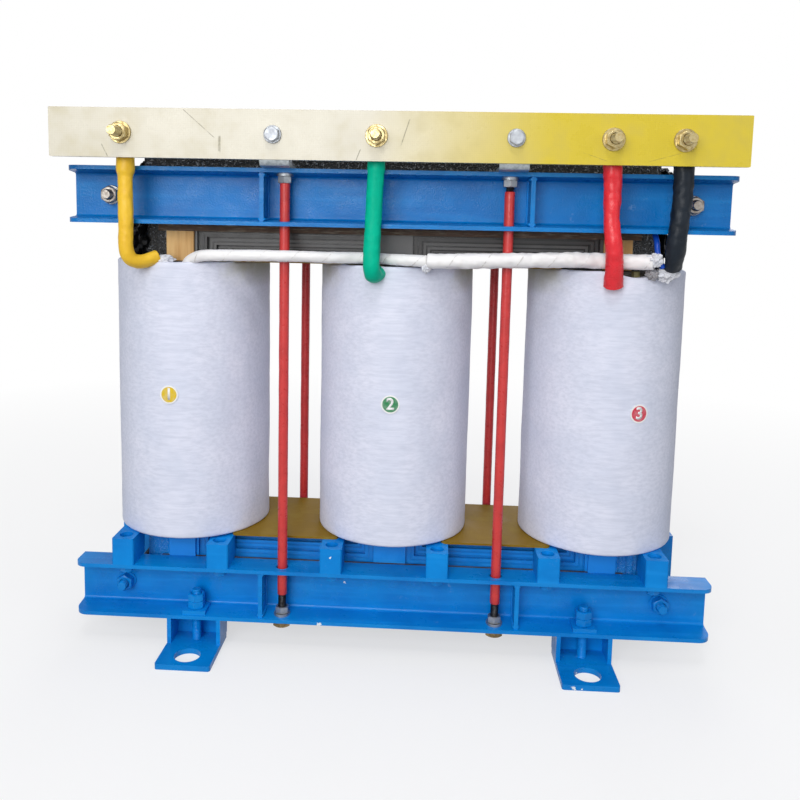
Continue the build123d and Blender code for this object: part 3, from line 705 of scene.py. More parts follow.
class Frame:
    """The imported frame, with what this script reads from it."""

    def __init__(self) -> None:
        """Load the frame once and keep the box that the solids fill."""
        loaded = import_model()
        self.nodes: dict[str, bpy.types.Object] = loaded["nodes"]
        self.cad_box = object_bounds()

    def box(self, node: str) -> Box:
        """The box of one node."""
        return Box(*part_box(node))

    def solids(self, node: str) -> list[Box]:
        """Find the separate solids of a node.

        Args:
            node: Name of the node.

        Returns:
            A box for each solid, sorted by its centre.
        """
        work = bmesh.new()
        work.from_mesh(self.nodes[node].data)
        bmesh.ops.remove_doubles(work, verts=work.verts, dist=1e-6)
        seen: set[int] = set()
        boxes: list[Box] = []
        work.verts.ensure_lookup_table()
        for start in work.verts:
            if start.index in seen:
                continue
            seen.add(start.index)
            queue, points = [start], []
            while queue:
                vert = queue.pop()
                points.append(vert.co.copy())
                for edge in vert.link_edges:
                    other = edge.other_vert(vert)
                    if other.index not in seen:
                        seen.add(other.index)
                        queue.append(other)
            low = Vector(min(p[i] for p in points) for i in range(3))
            high = Vector(max(p[i] for p in points) for i in range(3))
            boxes.append(Box(low, high))
        work.free()
        return sorted(boxes, key=lambda b: tuple(round(v, 4) for v in b.centre))

    def dress(self, material: bpy.types.Material, *names: str) -> None:
        """Give CAD nodes one material."""
        for name in names:
            mesh = self.nodes[name].data
            mesh.materials.clear()
            mesh.materials.append(material)
            LOG.info("dressed %s", name)


# ---------------------------------------------------------------- making meshes
class Mesher:
    """Collects rings and faces, and turns them into a piece of the object."""

    def __init__(self) -> None:
        """Start an empty mesh with a map for cloth."""
        self.work = bmesh.new()
        self.cloth = self.work.loops.layers.uv.new("cloth")

    def ring(self, points: Iterable[Sequence[float]]) -> list[bmesh.types.BMVert]:
        """Add the points of one ring."""
        return [self.work.verts.new(Vector(p)) for p in points]

    def strip(
        self,
        first: list[bmesh.types.BMVert],
        second: list[bmesh.types.BMVert],
        around: float = 1.0,
        rows: tuple[float, float] = (0.0, 0.0),
    ) -> None:
        """Join two rings of equal count by a closed strip of faces.

        Args:
            first: The ring at the strip's start.
            second: The ring at its end.
            around: Length of the map once around.
            rows: Map height of the two rings.
        """
        count = len(first)
        for i in range(count):
            j = (i + 1) % count
            face = self.work.faces.new((first[i], first[j], second[j], second[i]))
            left, right = around * i / count, around * (i + 1) / count
            places = ((left, rows[0]), (right, rows[0]), (right, rows[1]), (left, rows[1]))
            for loop, place in zip(face.loops, places):
                loop[self.cloth].uv = place

    def cap(self, ring: list[bmesh.types.BMVert], centre: Sequence[float]) -> None:
        """Close a ring by a fan of faces to one point."""
        middle = self.work.verts.new(Vector(centre))
        for i, vert in enumerate(ring):
            self.work.faces.new((vert, ring[(i + 1) % len(ring)], middle))

    def lathe(
        self,
        profile: Sequence[tuple[float, float]],
        steps: int,
        closed: bool = True,
        radius_at: Callable[[int, float, float], float] | None = None,
    ) -> None:
        """Turn a profile of (radius, height) points about Z.

        Args:
            profile: Points of the section, in order.
            steps: Points around.
            closed: Whether the last ring joins the first one.
            radius_at: Changes a point's radius from its number, its angle and its radius.
        """
        rings = []
        for number, (radius, height) in enumerate(profile):
            points = []
            for i in range(steps):
                angle = tau * i / steps
                r = radius_at(number, angle, radius) if radius_at else radius
                points.append((r * cos(angle), r * sin(angle), height))
            rings.append(self.ring(points))
        pairs = list(zip(rings, rings[1:]))
        if closed:
            pairs.append((rings[-1], rings[0]))
        length = 0.0
        for number, (first, second) in enumerate(pairs):
            a, b = profile[number], profile[(number + 1) % len(profile)]
            step = sqrt((a[0] - b[0]) ** 2 + (a[1] - b[1]) ** 2)
            self.strip(first, second, tau * max(a[0], b[0]), (length, length + step))
            length += step

    def finish(
        self, name: str, material: bpy.types.Material, smooth: float | None = 35.0
    ) -> bpy.types.Object:
        """Close the mesh up and put it in the scene.

        Args:
            name: Name of the piece.
            material: Its finish.
            smooth: Edges sharper than this many degrees stay sharp, None for a flat look.

        Returns:
            The new object, at the origin.
        """
        bmesh.ops.recalc_face_normals(self.work, faces=self.work.faces)
        mesh = bpy.data.meshes.new(name)
        self.work.to_mesh(mesh)
        self.work.free()
        return place_mesh(name, mesh, material, smooth)


def place_mesh(
    name: str, mesh: bpy.types.Mesh, material: bpy.types.Material, smooth: float | None = 35.0
) -> bpy.types.Object:
    """Link a finished mesh as an object at the origin.

    Args:
        name: Name of the piece.
        mesh: The mesh, in place.
        material: Its finish.
        smooth: Edges sharper than this many degrees stay sharp, None for a flat look.

    Returns:
        The new object.
    """
    mesh.materials.clear()
    mesh.materials.append(material)
    piece = bpy.data.objects.new(name, mesh)
    bpy.context.scene.collection.objects.link(piece)
    if smooth is not None:
        mesh.shade_smooth()
        mesh.set_sharp_from_angle(angle=radians(smooth))
    return piece


def settle(piece: bpy.types.Object, slot: str, *replaced: str) -> bpy.types.Object:
    """Let a piece ride on the frame and stand for its CAD nodes."""
    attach(piece, ROOT)
    if replaced:
        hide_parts(*replaced)
    LOG.info("made %s with %d faces", piece.name, len(piece.data.polygons))
    return piece


# ---------------------------------------------------------------- trees that repeat a thing
class CopyTree:
    """Geometry nodes that put a copy of one item on every point, turned as the point says."""

    def __init__(self) -> None:
        """Build the tree with its named inputs."""
        tree = bpy.data.node_groups.new("copies_on_places", "GeometryNodeTree")
        socket = tree.interface.new_socket
        socket("Places", in_out="INPUT", socket_type="NodeSocketGeometry")
        self.item = socket("Item", in_out="INPUT", socket_type="NodeSocketObject").identifier
        self.finish = socket("Finish", in_out="INPUT", socket_type="NodeSocketMaterial").identifier
        socket("Copies", in_out="OUTPUT", socket_type="NodeSocketGeometry")
        given = add_node(tree, "NodeGroupInput")
        item = add_node(tree, "GeometryNodeObjectInfo", links={"Object": given.outputs["Item"]})
        turn = add_node(
            tree, "GeometryNodeInputNamedAttribute", values={"Name": "turn"}, data_type="FLOAT_VECTOR"
        )
        rotation = add_node(
            tree, "FunctionNodeEulerToRotation", links={0: turn.outputs["Attribute"]}
        )
        copies = add_node(
            tree,
            "GeometryNodeInstanceOnPoints",
            links={
                "Points": given.outputs["Places"],
                "Instance": item.outputs["Geometry"],
                "Rotation": rotation.outputs[0],
            },
        )
        real = add_node(
            tree, "GeometryNodeRealizeInstances", links={"Geometry": copies.outputs["Instances"]}
        )
        dressed = add_node(
            tree,
            "GeometryNodeSetMaterial",
            links={"Geometry": real.outputs["Geometry"], "Material": given.outputs["Finish"]},
        )
        add_node(tree, "NodeGroupOutput", links={0: dressed.outputs["Geometry"]})
        self.tree = tree

    def spread(
        self,
        name: str,
        item: bpy.types.Object,
        places: Sequence[tuple[Vector, Vector]],
        material: bpy.types.Material,
        smooth: float = 20.0,
    ) -> bpy.types.Object:
        """Copy an item to places and turn the result into a plain piece.

        Args:
            name: Name of the piece.
            item: The thing to copy, made about the origin with its axis along Z.
            places: A point and the direction that the item's Z axis takes there.
            material: Finish of the copies.
            smooth: Edges sharper than this many degrees stay sharp.

        Returns:
            One object with all the copies in its mesh.
        """
        mesh = bpy.data.meshes.new(name + "_places")
        mesh.from_pydata([tuple(point) for point, _ in places], [], [])
        turns = mesh.attributes.new("turn", "FLOAT_VECTOR", "POINT")
        for entry, (_, direction) in zip(turns.data, places):
            entry.vector = direction.to_track_quat("Z", "Y").to_euler()
        carrier = bpy.data.objects.new(name + "_carrier", mesh)
        bpy.context.scene.collection.objects.link(carrier)
        modifier = carrier.modifiers.new("copies", "NODES")
        modifier.node_group = self.tree
        modifier[self.item] = item
        modifier[self.finish] = material
        graph = bpy.context.evaluated_depsgraph_get()
        graph.update()
        result = bpy.data.meshes.new_from_object(carrier.evaluated_get(graph))
        carrier.modifiers.remove(modifier)
        bpy.data.objects.remove(carrier)
        bpy.data.objects.remove(item)
        result.name = name
        return place_mesh(name, result, material, smooth)


class ThreadTree:
    """Geometry nodes that roll a grid into a screw thread, whose ridge climbs as it goes round."""

    def __init__(self) -> None:
        """Build the tree with its named inputs."""
        tree = bpy.data.node_groups.new("screw_thread", "GeometryNodeTree")
        socket = tree.interface.new_socket
        self.inputs: dict[str, str] = {}
        for name in ("Radius", "Depth", "Pitch", "Length"):
            entry = socket(name, in_out="INPUT", socket_type="NodeSocketFloat")
            self.inputs[name] = entry.identifier
        for name in ("Around", "Rows"):
            entry = socket(name, in_out="INPUT", socket_type="NodeSocketInt")
            self.inputs[name] = entry.identifier
        socket("Thread", in_out="OUTPUT", socket_type="NodeSocketGeometry")
        given = add_node(tree, "NodeGroupInput")
        grid = add_node(
            tree,
            "GeometryNodeMeshGrid",
            values={"Size X": 1.0, "Size Y": 1.0},
            links={"Vertices X": given.outputs["Around"], "Vertices Y": given.outputs["Rows"]},
        )
        where = add_node(tree, "GeometryNodeInputPosition")
        parts = add_node(tree, "ShaderNodeSeparateXYZ", links={0: where.outputs[0]})
        sum_of = partial(sum_node, tree)
        share_round = sum_of("ADD", parts.outputs["X"], 0.5)
        angle = sum_of("MULTIPLY", share_round, tau)
        share_up = sum_of("ADD", parts.outputs["Y"], 0.5)
        height = sum_of("MULTIPLY", share_up, given.outputs["Length"])
        turns = sum_of("SUBTRACT", sum_of("DIVIDE", height, given.outputs["Pitch"]), share_round)
        ridge = sum_of("MULTIPLY", sum_of("PINGPONG", turns, 0.5), 2.0)
        below_tip = sum_of("SUBTRACT", given.outputs["Length"], height)
        chamfer = sum_of("SUBTRACT", 1.0, sum_of("DIVIDE", below_tip, given.outputs["Pitch"]))
        lowest = sum_of("MAXIMUM", chamfer, ridge)
        cut = sum_of("MULTIPLY", sum_of("MINIMUM", lowest, 1.0), given.outputs["Depth"])
        radius = sum_of("SUBTRACT", given.outputs["Radius"], cut)
        rolled = add_node(
            tree,
            "ShaderNodeCombineXYZ",
            links={
                "X": sum_of("MULTIPLY", radius, sum_of("COSINE", angle, 0.0)),
                "Y": sum_of("MULTIPLY", radius, sum_of("SINE", angle, 0.0)),
                "Z": height,
            },
        )
        moved = add_node(
            tree,
            "GeometryNodeSetPosition",
            links={"Geometry": grid.outputs["Mesh"], "Position": rolled.outputs[0]},
        )
        closed = add_node(
            tree,
            "GeometryNodeMergeByDistance",
            values={"Distance": 1e-6},
            links={"Geometry": moved.outputs["Geometry"]},
        )
        add_node(tree, "NodeGroupOutput", links={0: closed.outputs["Geometry"]})
        self.tree = tree

    def roll(self, radius: float, pitch: float, length: float) -> bpy.types.Mesh:
        """Make one length of thread with a closed tip and foot.

        Args:
            radius: Outer radius.
            pitch: Height of one turn.
            length: Length along Z from the origin.

        Returns:
            The mesh of the thread.
        """
        carrier = bpy.data.objects.new("thread_carrier", bpy.data.meshes.new("thread_seed"))
        bpy.context.scene.collection.objects.link(carrier)
        modifier = carrier.modifiers.new("thread", "NODES")
        modifier.node_group = self.tree
        rows = max(6, int(4 * length / pitch) + 1)
        sizes = {"Radius": radius, "Depth": 0.54 * pitch, "Pitch": pitch, "Length": length}
        for name, value in (*sizes.items(), ("Around", 29), ("Rows", rows)):
            modifier[self.inputs[name]] = value
        graph = bpy.context.evaluated_depsgraph_get()
        graph.update()
        mesh = bpy.data.meshes.new_from_object(carrier.evaluated_get(graph))
        bpy.data.objects.remove(carrier)
        work = bmesh.new()
        work.from_mesh(mesh)
        bmesh.ops.holes_fill(work, edges=[e for e in work.edges if e.is_boundary])
        bmesh.ops.recalc_face_normals(work, faces=work.faces)
        work.to_mesh(mesh)
        work.free()
        return mesh


# ---------------------------------------------------------------- fasteners
@dataclass(frozen=True)
class HexShape:
    """Sizes of a nut or a bolt head."""

    across_flats: float
    height: float
    bore: float = 0.0
    chamfer_share: float = 0.94
    chamfer_slope: float = 0.58
    steps: int = 48

    def item(self, name: str, material: bpy.types.Material, lower_chamfer: bool = True) -> bpy.types.Object:
        """Make one chamfered hexagon on the origin, standing up along Z.

        Args:
            name: Name of the item.
            material: Its finish.
            lower_chamfer: Whether its lower rim is chamfered too.

        Returns:
            The item.
        """
        flat = self.across_flats / 2
        crown = flat * self.chamfer_share
        mesher = Mesher()
        turn = pi / 6

        def hexagon(angle: float) -> float:
            """Distance from the axis to the hexagon's side at this angle."""
            return flat / cos((angle + turn) % (pi / 3) - pi / 6)

        rings = []
        levels = (("crown", 0.0), ("side", 0.0), ("side", 1.0), ("crown", 1.0))
        for kind, end in levels:
            points = []
            for i in range(self.steps):
                angle = tau * i / self.steps
                outer = hexagon(angle)
                drop = (outer - crown) * self.chamfer_slope
                radius, height = (crown, end * self.height)
                if kind == "side":
                    radius = outer
                    keeps = end == 0.0 and not lower_chamfer
                    height = drop * (1 - 2 * end) + end * self.height if not keeps else 0.0
                elif end == 0.0 and not lower_chamfer:
                    radius = outer * 0.98
                points.append((radius * cos(angle), radius * sin(angle), height))
            rings.append(mesher.ring(points))
        for first, second in zip(rings, rings[1:]):
            mesher.strip(first, second)
        if self.bore:
            wide, narrow = self.bore / 2 * 1.1, self.bore / 2
            edges = (
                (wide, 0.0), (narrow, self.height * 0.08),
                (narrow, self.height * 0.92), (wide, self.height),
            )
            angles = [tau * i / self.steps for i in range(self.steps)]
            hollow = [mesher.ring((r * cos(a), r * sin(a), z) for a in angles) for r, z in edges]
            for first, second in zip([rings[0], *hollow], [*hollow, rings[-1]]):
                mesher.strip(first, second)
        else:
            mesher.cap(rings[0], (0, 0, 0))
            mesher.cap(rings[-1], (0, 0, self.height))
        return mesher.finish(name, material, 20.0)


def washer_item(
    name: str, outer: float, bore: float, thickness: float, material: bpy.types.Material
) -> bpy.types.Object:
    """Make a round washer with soft punched edges on the origin, standing along Z.

    Args:
        name: Name of the item.
        outer: Outer diameter.
        bore: Diameter of its hole.
        thickness: Its thickness.
        material: Its finish.

    Returns:
        The item.
    """
    soft = thickness * 0.25
    out, hole = outer / 2, bore / 2
    mesher = Mesher()
    mesher.lathe(
        [
            (hole, 0.0),
            (out - soft, 0.0),
            (out, soft),
            (out, thickness - soft),
            (out - soft, thickness),
            (hole + soft, thickness),
            (hole, thickness - soft),
        ],
        40,
    )
    return mesher.finish(name, material)


@dataclass
class Fasteners:
    """Nuts, washers, heads and threads, each copied to the places of its CAD solids."""

    frame: Frame
    palette: Palette
    copies: CopyTree = field(default_factory=CopyTree)
    threads: ThreadTree = field(default_factory=ThreadTree)

    def seats(self, node: str, axis: int) -> list[tuple[Vector, Vector]]:
        """Where a node's solids stand: the inner face's middle, and the way that they point.

        Args:
            node: Name of the node.
            axis: 1 for pieces across the core, which point away from it, 2 for upright ones.

        Returns:
            A point and a direction for each solid.
        """
        places = []
        for box in self.frame.solids(node):
            point = box.centre
            way = 1.0
            if axis == 1:
                way = 1.0 if point.y > 0 else -1.0
            direction = Vector((0, 0, 0))
            direction[axis] = way
            point[axis] = box.low[axis] if way > 0 else box.high[axis]
            places.append((point, direction))
        return places

    def nuts(self, node: str, axis: int, bore: float, finish: str, slot: str) -> None:
        """Replace a node of plain nuts by chamfered ones.

        Args:
            node: Name of the node and, with _chamfered added, of the piece.
            axis: 1 across the core, 2 upright.
            bore: Diameter of the hole.
            finish: Name of the finish.
            slot: Material slot of the record.
        """
        solid = self.frame.solids(node)[0]
        sides = [solid.size[i] for i in range(3) if i != axis]
        shape = HexShape(min(sides), solid.size[axis], bore)
        item = shape.item(node + "_item", self.palette[finish])
        piece = self.copies.spread(node + "_chamfered", item, self.seats(node, axis), self.palette[finish])
        settle(piece, slot, node)

    def washers(self, node: str, axis: int, bore: float, finish: str, slot: str) -> None:
        """Replace a node of plain washers by ones with soft edges."""
        solid = self.frame.solids(node)[0]
        item = washer_item(
            node + "_item", solid.size.x, bore, solid.size[axis], self.palette[finish]
        )
        piece = self.copies.spread(node + "_soft", item, self.seats(node, axis), self.palette[finish])
        settle(piece, slot, node)

    def threaded(
        self,
        name: str,
        radius: float,
        pitch: float,
        length: float,
        places: Sequence[tuple[Vector, Vector]],
        finish: str,
        slot: str,
        *replaced: str,
    ) -> None:
        """Put equal lengths of thread on places.

        Args:
            name: Name of the piece.
            radius: Outer radius of the thread.
            pitch: Height of one turn.
            length: Length of each thread.
            places: Foot and direction of each thread.
            finish: Name of the finish.
            slot: Material slot of the record.
            *replaced: CAD nodes that the threads stand for.
        """
        mesh = self.threads.roll(radius, pitch, length)
        item = place_mesh(name + "_item", mesh, self.palette[finish], 50.0)
        piece = self.copies.spread(name, item, places, self.palette[finish])
        settle(piece, slot, *replaced)

    def build(self) -> None:
        """Make every fastener."""
        upright, across = 2, 1
        bore_10, bore_12, bore_14 = 0.0102, 0.0122, 0.0142
        bright = ("zinc_bright_plated", "zinc_steel")
        painted = ("frame_enamel_brushed", "blue_paint")
        straw = ("zinc_yellow_passivated", "brass")
        for node, axis, bore, look in (
            ("rod_nuts", upright, bore_12, bright),
            ("foot_nuts", upright, bore_14, painted),
            ("block_screw_nuts", upright, bore_10, painted),
            ("upper_cross_nuts", across, bore_14, ("zinc_dull_grey", "zinc_steel")),
            ("lower_cross_nuts", across, bore_14, painted),
            ("terminal_nuts", across, bore_14, straw),
            ("board_bolt_nuts", across, bore_12, bright),
        ):
            self.nuts(node, axis, bore, *look)
        for node, bore, look in (
            ("upper_cross_washers", bore_14, bright),
            ("lower_cross_washers", bore_14, painted),
            ("terminal_washers", bore_14, straw),
            ("board_bolt_washers", bore_12, bright),
        ):
            self.washers(node, across, bore, *look)
        self.terminal_studs()
        self.tie_rods()
        self.cross_bolts()
        self.foot_studs()
        self.board_bolts()

    def terminal_studs(self) -> None:
        """Fine-threaded studs through the board."""
        boxes = self.frame.solids("terminal_studs")
        length = boxes[0].size.y
        places = [(Vector((b.centre.x, b.high.y, b.centre.z)), Vector((0, -1, 0))) for b in boxes]
        self.threaded(
            "terminal_stud_threads", boxes[0].size.x / 2, PITCH_14, length, places,
            "zinc_yellow_passivated", "brass", "terminal_studs",
        )

    def tie_rods(self) -> None:
        """Rod heads under the lower clamps, plain rods in their sleeves, threads at both ends."""
        rods = self.frame.solids("tie_rods")
        sleeve = self.frame.box("rod_sleeves")
        radius, head_height = 0.006, 0.010
        head = HexShape(min(rods[0].size.x, rods[0].size.y), head_height)
        seats = [(Vector((b.centre.x, b.centre.y, b.low.z)), Vector((0, 0, 1))) for b in rods]
        item = head.item("rod_head_item", self.palette["zinc_yellow_aged"])
        heads = self.copies.spread("tie_rod_heads", item, seats, self.palette["zinc_yellow_aged"])
        settle(heads, "zinc_steel", "tie_rods")
        low = rods[0].low.z + head_height * 0.9
        feet = [(Vector((b.centre.x, b.centre.y, low)), Vector((0, 0, 1))) for b in rods]
        self.threaded(
            "tie_rod_lower_threads", radius, PITCH_12, sleeve.low.z + 0.012 - low, feet,
            "steel_thread_blackened", "zinc_steel",
        )
        bars = Mesher()
        for rod in rods:
            ends = (sleeve.low.z + 0.006, sleeve.high.z - 0.006)
            self.bar(bars, [Vector((rod.centre.x, rod.centre.y, z)) for z in ends], radius * 0.94)
        settle(bars.finish("tie_rod_shanks", self.palette["steel_thread_blackened"]), "zinc_steel")
        for place, way in (("front", -1), ("rear", 1)):
            group = [b for b in rods if b.centre.y * way > 0]
            start = sleeve.high.z - 0.012
            tips = [(Vector((b.centre.x, b.centre.y, start)), Vector((0, 0, 1))) for b in group]
            self.threaded(
                f"tie_rod_upper_threads_{place}", radius, PITCH_12, group[0].high.z - start, tips,
                "steel_thread_blackened", "zinc_steel",
            )

    @staticmethod
    def bar(mesher: Mesher, ends: Sequence[Vector], radius: float, steps: int = 24) -> None:
        """Add a round bar with closed ends, upright or across the core."""
        upright = ends[0].z != ends[1].z
        rings = []
        for end in ends:
            points = []
            for i in range(steps):
                side, rise = radius * cos(tau * i / steps), radius * sin(tau * i / steps)
                y, z = (end.y + rise, end.z) if upright else (end.y, end.z + rise)
                points.append((end.x + side, y, z))
            rings.append(mesher.ring(points))
        mesher.strip(rings[0], rings[1])
        for ring, end in zip(rings, ends):
            mesher.cap(ring, end)

    def cross_bolts(self) -> None:
        """Long bolts through both clamps, threaded where they show."""
        shown, shank_stop, shank_r = 0.028, 0.026, 0.0067
        for level, finish, slot in (
            ("upper", "zinc_dull_grey", "zinc_steel"),
            ("lower", "frame_enamel_brushed", "blue_paint"),
        ):
            node = f"{level}_cross_bolts"
            ends = []
            bars = Mesher()
            for bolt in self.frame.solids(node):
                for way in (-1.0, 1.0):
                    foot = Vector((bolt.centre.x, way * (bolt.high.y - shown), bolt.centre.z))
                    ends.append((foot, Vector((0, way, 0))))
                middle = bolt.high.y - shank_stop
                shank = [Vector((bolt.centre.x, y, bolt.centre.z)) for y in (-middle, middle)]
                self.bar(bars, shank, shank_r)
            settle(bars.finish(f"{level}_cross_shanks", self.palette["steel_thread_blackened"]), slot, node)
            self.threaded(f"{level}_cross_threads", 0.007, PITCH_14, shown, ends, finish, slot)

    def foot_studs(self) -> None:
        """Threaded studs that hold the clamps down on their feet."""
        boxes = self.frame.solids("foot_studs")
        places = [(Vector((b.centre.x, b.centre.y, b.low.z)), Vector((0, 0, 1))) for b in boxes]
        self.threaded(
            "foot_stud_threads", boxes[0].size.x / 2, PITCH_14, boxes[0].size.z, places,
            "frame_enamel_brushed", "blue_paint", "foot_studs",
        )

    def board_bolts(self) -> None:
        """Hex bolts through the board and its brackets, heads to the front."""
        boxes = self.frame.solids("board_bolts")
        head_height, washer = 0.008, self.frame.box("board_bolt_washers")
        seats = [(Vector((b.centre.x, washer.low.y, b.centre.z)), Vector((0, -1, 0))) for b in boxes]
        head = HexShape(0.018, head_height)
        item = head.item("board_bolt_item", self.palette["zinc_bright_plated"], lower_chamfer=False)
        heads = self.copies.spread("board_bolt_heads", item, seats, self.palette["zinc_bright_plated"])
        settle(heads, "zinc_steel", "board_bolts")
        shanks = [(Vector((b.centre.x, washer.low.y - 0.001, b.centre.z)), Vector((0, 1, 0))) for b in boxes]
        self.threaded(
            "board_bolt_shanks", 0.006, PITCH_12, boxes[0].high.y - washer.low.y, shanks,
            "zinc_bright_plated", "zinc_steel",
        )


# ---------------------------------------------------------------- coils
@dataclass(frozen=True)
class LeadMark:
    """Where a lead leaves a coil, which lifts and creases its wrap."""

    x: float
    y: float
    lift: float = 0.004
    dip: float = 0.0
    dip_reach: float = 0.04


@dataclass
class WrappedCoil:
    """One outer winding in its varnished wrap."""

    name: str
    frame: Frame
    palette: Palette
    marks: tuple[LeadMark, ...]
    rows: int = 72
    steps: int = 160
    waviness: float = 0.0011
    rim: float = 0.0035

    def build(self) -> bpy.types.Object:
        """Make the wrap as a closed ring with a wavy outside and a crumpled upper rim.

        Returns:
            The wrap.
        """
        box = self.frame.box(f"outer_winding_{self.name}")
        inner = self.frame.box(f"inner_winding_{self.name}")
        centre = box.centre
        outer_r = box.size.x / 2
        inner_r = inner.size.x / 2 + 0.008
        low, high = box.low.z, box.high.z
        profile: list[tuple[float, float]] = []
        for i in range(5):
            angle = pi / 2 * i / 4
            profile.append((outer_r - self.rim * (1 - sin(angle)), low + self.rim * (1 - cos(angle))))
        for i in range(1, self.rows):
            profile.append((outer_r, low + self.rim + (high - low - 2 * self.rim) * i / self.rows))
        for i in range(5):
            angle = pi / 2 * i / 4
            profile.append((outer_r - self.rim * (1 - cos(angle)), high - self.rim * (1 - sin(angle))))
        wall = (outer_r - inner_r) / 4
        for i in range(1, 4):
            profile.append((outer_r - self.rim - wall * i * 0.85, high - 0.0006 * i))
        profile.append((inner_r, high - 0.004))
        profile.append((inner_r, low))
        mesher = Mesher()

        def waves(number: int, angle: float, radius: float) -> float:
            """Radius of the wrap with its waves, flats and lifted places."""
            height = profile[number][1]
            if radius <= inner_r + 1e-6:
                return radius
            spot = Vector((cos(angle) * 2.2, sin(angle) * 2.2, height * 9.0))
            slow = noise.noise(spot + Vector((7.0 * centre.x, 3.0, 1.0)))
            fine = noise.noise(spot * 6.0 + Vector((1.0, 5.0, 9.0 * centre.x)))
            change = self.waviness * slow + 0.00025 * fine - self.waviness
            below = (high - height) / 0.075
            if below < 1.0:
                rough = noise.noise(Vector((cos(angle) * 12.0, sin(angle) * 12.0, height * 60.0)))
                change += (1.0 - below) ** 2 * 0.0009 * rough
                for mark in self.marks:
                    at = Vector((cos(angle) * outer_r - mark.x + centre.x, sin(angle) * outer_r - mark.y))
                    near = max(0.0, 1.0 - at.length / 0.034)
                    crease = 0.75 + 0.25 * cos(at.x * 900.0 + height * 260.0)
                    change += mark.lift * near**1.5 * (1.0 - below) * crease
            return radius + min(change, 0.0046)

        mesher.lathe(profile, self.steps, radius_at=waves)
        for vert in mesher.work.verts:
            near_top = max(0.0, 1.0 - (high - vert.co.z) / 0.01)
            ripple = noise.noise(Vector((vert.co.x * 60.0, vert.co.y * 60.0, centre.x)))
            vert.co.z += near_top * min(0.0012 * ripple, 0.0004) - 0.0004 * near_top
            for mark in self.marks:
                at = Vector((vert.co.x - mark.x + centre.x, vert.co.y - mark.y))
                near = max(0.0, 1.0 - at.length / mark.dip_reach)
                vert.co.z -= mark.dip * near_top * near * near * (3 - 2 * near)
            vert.co.x += centre.x
            vert.co.y += centre.y
        piece = mesher.finish(f"coil_wrap_{self.name}", self.palette["coil_fleece_varnished"], 40.0)
        return settle(piece, "coil_wrap", f"outer_winding_{self.name}")


@dataclass
class PhaseSticker:
    """A round sticker on a coil's face, with a plain number."""

    name: str
    number: str
    finish: str
    middle_x: float
    middle_z: float
    frame: Frame
    palette: Palette
    radius: float = 0.0135
    stand_off: float = 0.0006

    def wrap(self, sideways: float, up: float, lift: float) -> Vector:
        """Bend a flat point of the sticker round its coil.

        Args:
            sideways: Distance from the sticker's middle along the coil's round.
            up: Height above the sticker's middle.
            lift: Distance above the coil's nominal face.

        Returns:
            The point in place.
        """
        box = self.frame.box(f"outer_winding_{self.name}")
        coil_r = box.size.x / 2
        start = (self.middle_x - box.centre.x) / coil_r
        angle = start + sideways / coil_r
        reach = coil_r + lift
        return Vector((box.centre.x + reach * sin(angle), -reach * cos(angle), self.middle_z + up))

    def disc(self, name: str, finish: str, rim: float, lift: float) -> None:
        """Add a thin disc of radius rim, bent round its coil."""
        mesher = Mesher()
        rings = []
        for share, height in ((1.0, lift - 0.0012), (1.0, lift), (0.6, lift), (0.3, lift)):
            rings.append(
                mesher.ring(
                    self.wrap(rim * share * cos(tau * i / 64), rim * share * sin(tau * i / 64), height)
                    for i in range(64)
                )
            )
        for first, second in zip(rings, rings[1:]):
            mesher.strip(first, second)
        mesher.cap(rings[-1], self.wrap(0.0, 0.0, lift))
        mesher.cap(rings[0], self.wrap(0.0, 0.0, lift - 0.0012))
        settle(mesher.finish(name, self.palette[finish], 30.0), "coil_wrap")

    def build(self) -> None:
        """Make the white disc, the coloured one on it and the number."""
        self.disc(f"sticker_rim_{self.name}", "sticker_white", self.radius, self.stand_off)
        self.disc(f"sticker_face_{self.name}", self.finish, self.radius * 0.84, self.stand_off + 0.0002)
        words = bpy.data.curves.new(f"sticker_number_{self.name}", "FONT")
        words.body = self.number
        words.size = self.radius * 1.75
        words.align_x, words.align_y = "CENTER", "CENTER"
        words.offset = 0.0006
        carrier = bpy.data.objects.new("number_carrier", words)
        mesh = bpy.data.meshes.new_from_object(carrier)
        bpy.data.objects.remove(carrier)
        work = bmesh.new()
        work.from_mesh(mesh)
        bmesh.ops.remove_doubles(work, verts=work.verts, dist=1e-6)
        longest = max(e.calc_length() for e in work.edges)
        if longest > 0.002:
            bmesh.ops.triangulate(work, faces=work.faces)
        grown = bmesh.ops.extrude_face_region(work, geom=work.faces[:])
        raised = {v for v in grown["geom"] if isinstance(v, bmesh.types.BMVert)}
        for vert in work.verts:
            lift = self.stand_off + (0.0004 if vert in raised else 0.0001)
            vert.co = self.wrap(vert.co.x, vert.co.y, lift)
        bmesh.ops.recalc_face_normals(work, faces=work.faces)
        work.to_mesh(mesh)
        work.free()
        piece = place_mesh(f"sticker_number_{self.name}", mesh, self.palette["sticker_white"], None)
        settle(piece, "coil_wrap")


# ---------------------------------------------------------------- leads
class Section(Enum):
    """How a lead's cross-section is shaped."""

    ROUND = 1.0
    FLATTENED = 0.86


def smooth_line(name: str, points: Sequence[Point]) -> list[Vector]:
    """Read a smooth line whose control points are the given ones.

    Args:
        name: Name for the curve.
        points: Control points in metres.

    Returns:
        Points along the NURBS curve.
    """
    curve = bpy.data.curves.new(name + "_route", "CURVE")
    curve.dimensions = "3D"
    spline = curve.splines.new("NURBS")
    spline.points.add(len(points) - 1)
    for entry, point in zip(spline.points, points):
        entry.co = (*point, 1.0)
    spline.order_u = 3
    spline.use_endpoint_u = True
    spline.resolution_u = 24
    carrier = bpy.data.objects.new(name + "_carrier", curve)
    mesh = bpy.data.meshes.new_from_object(carrier)
    found = [v.co.copy() for v in mesh.vertices]
    bpy.data.objects.remove(carrier)
    return found


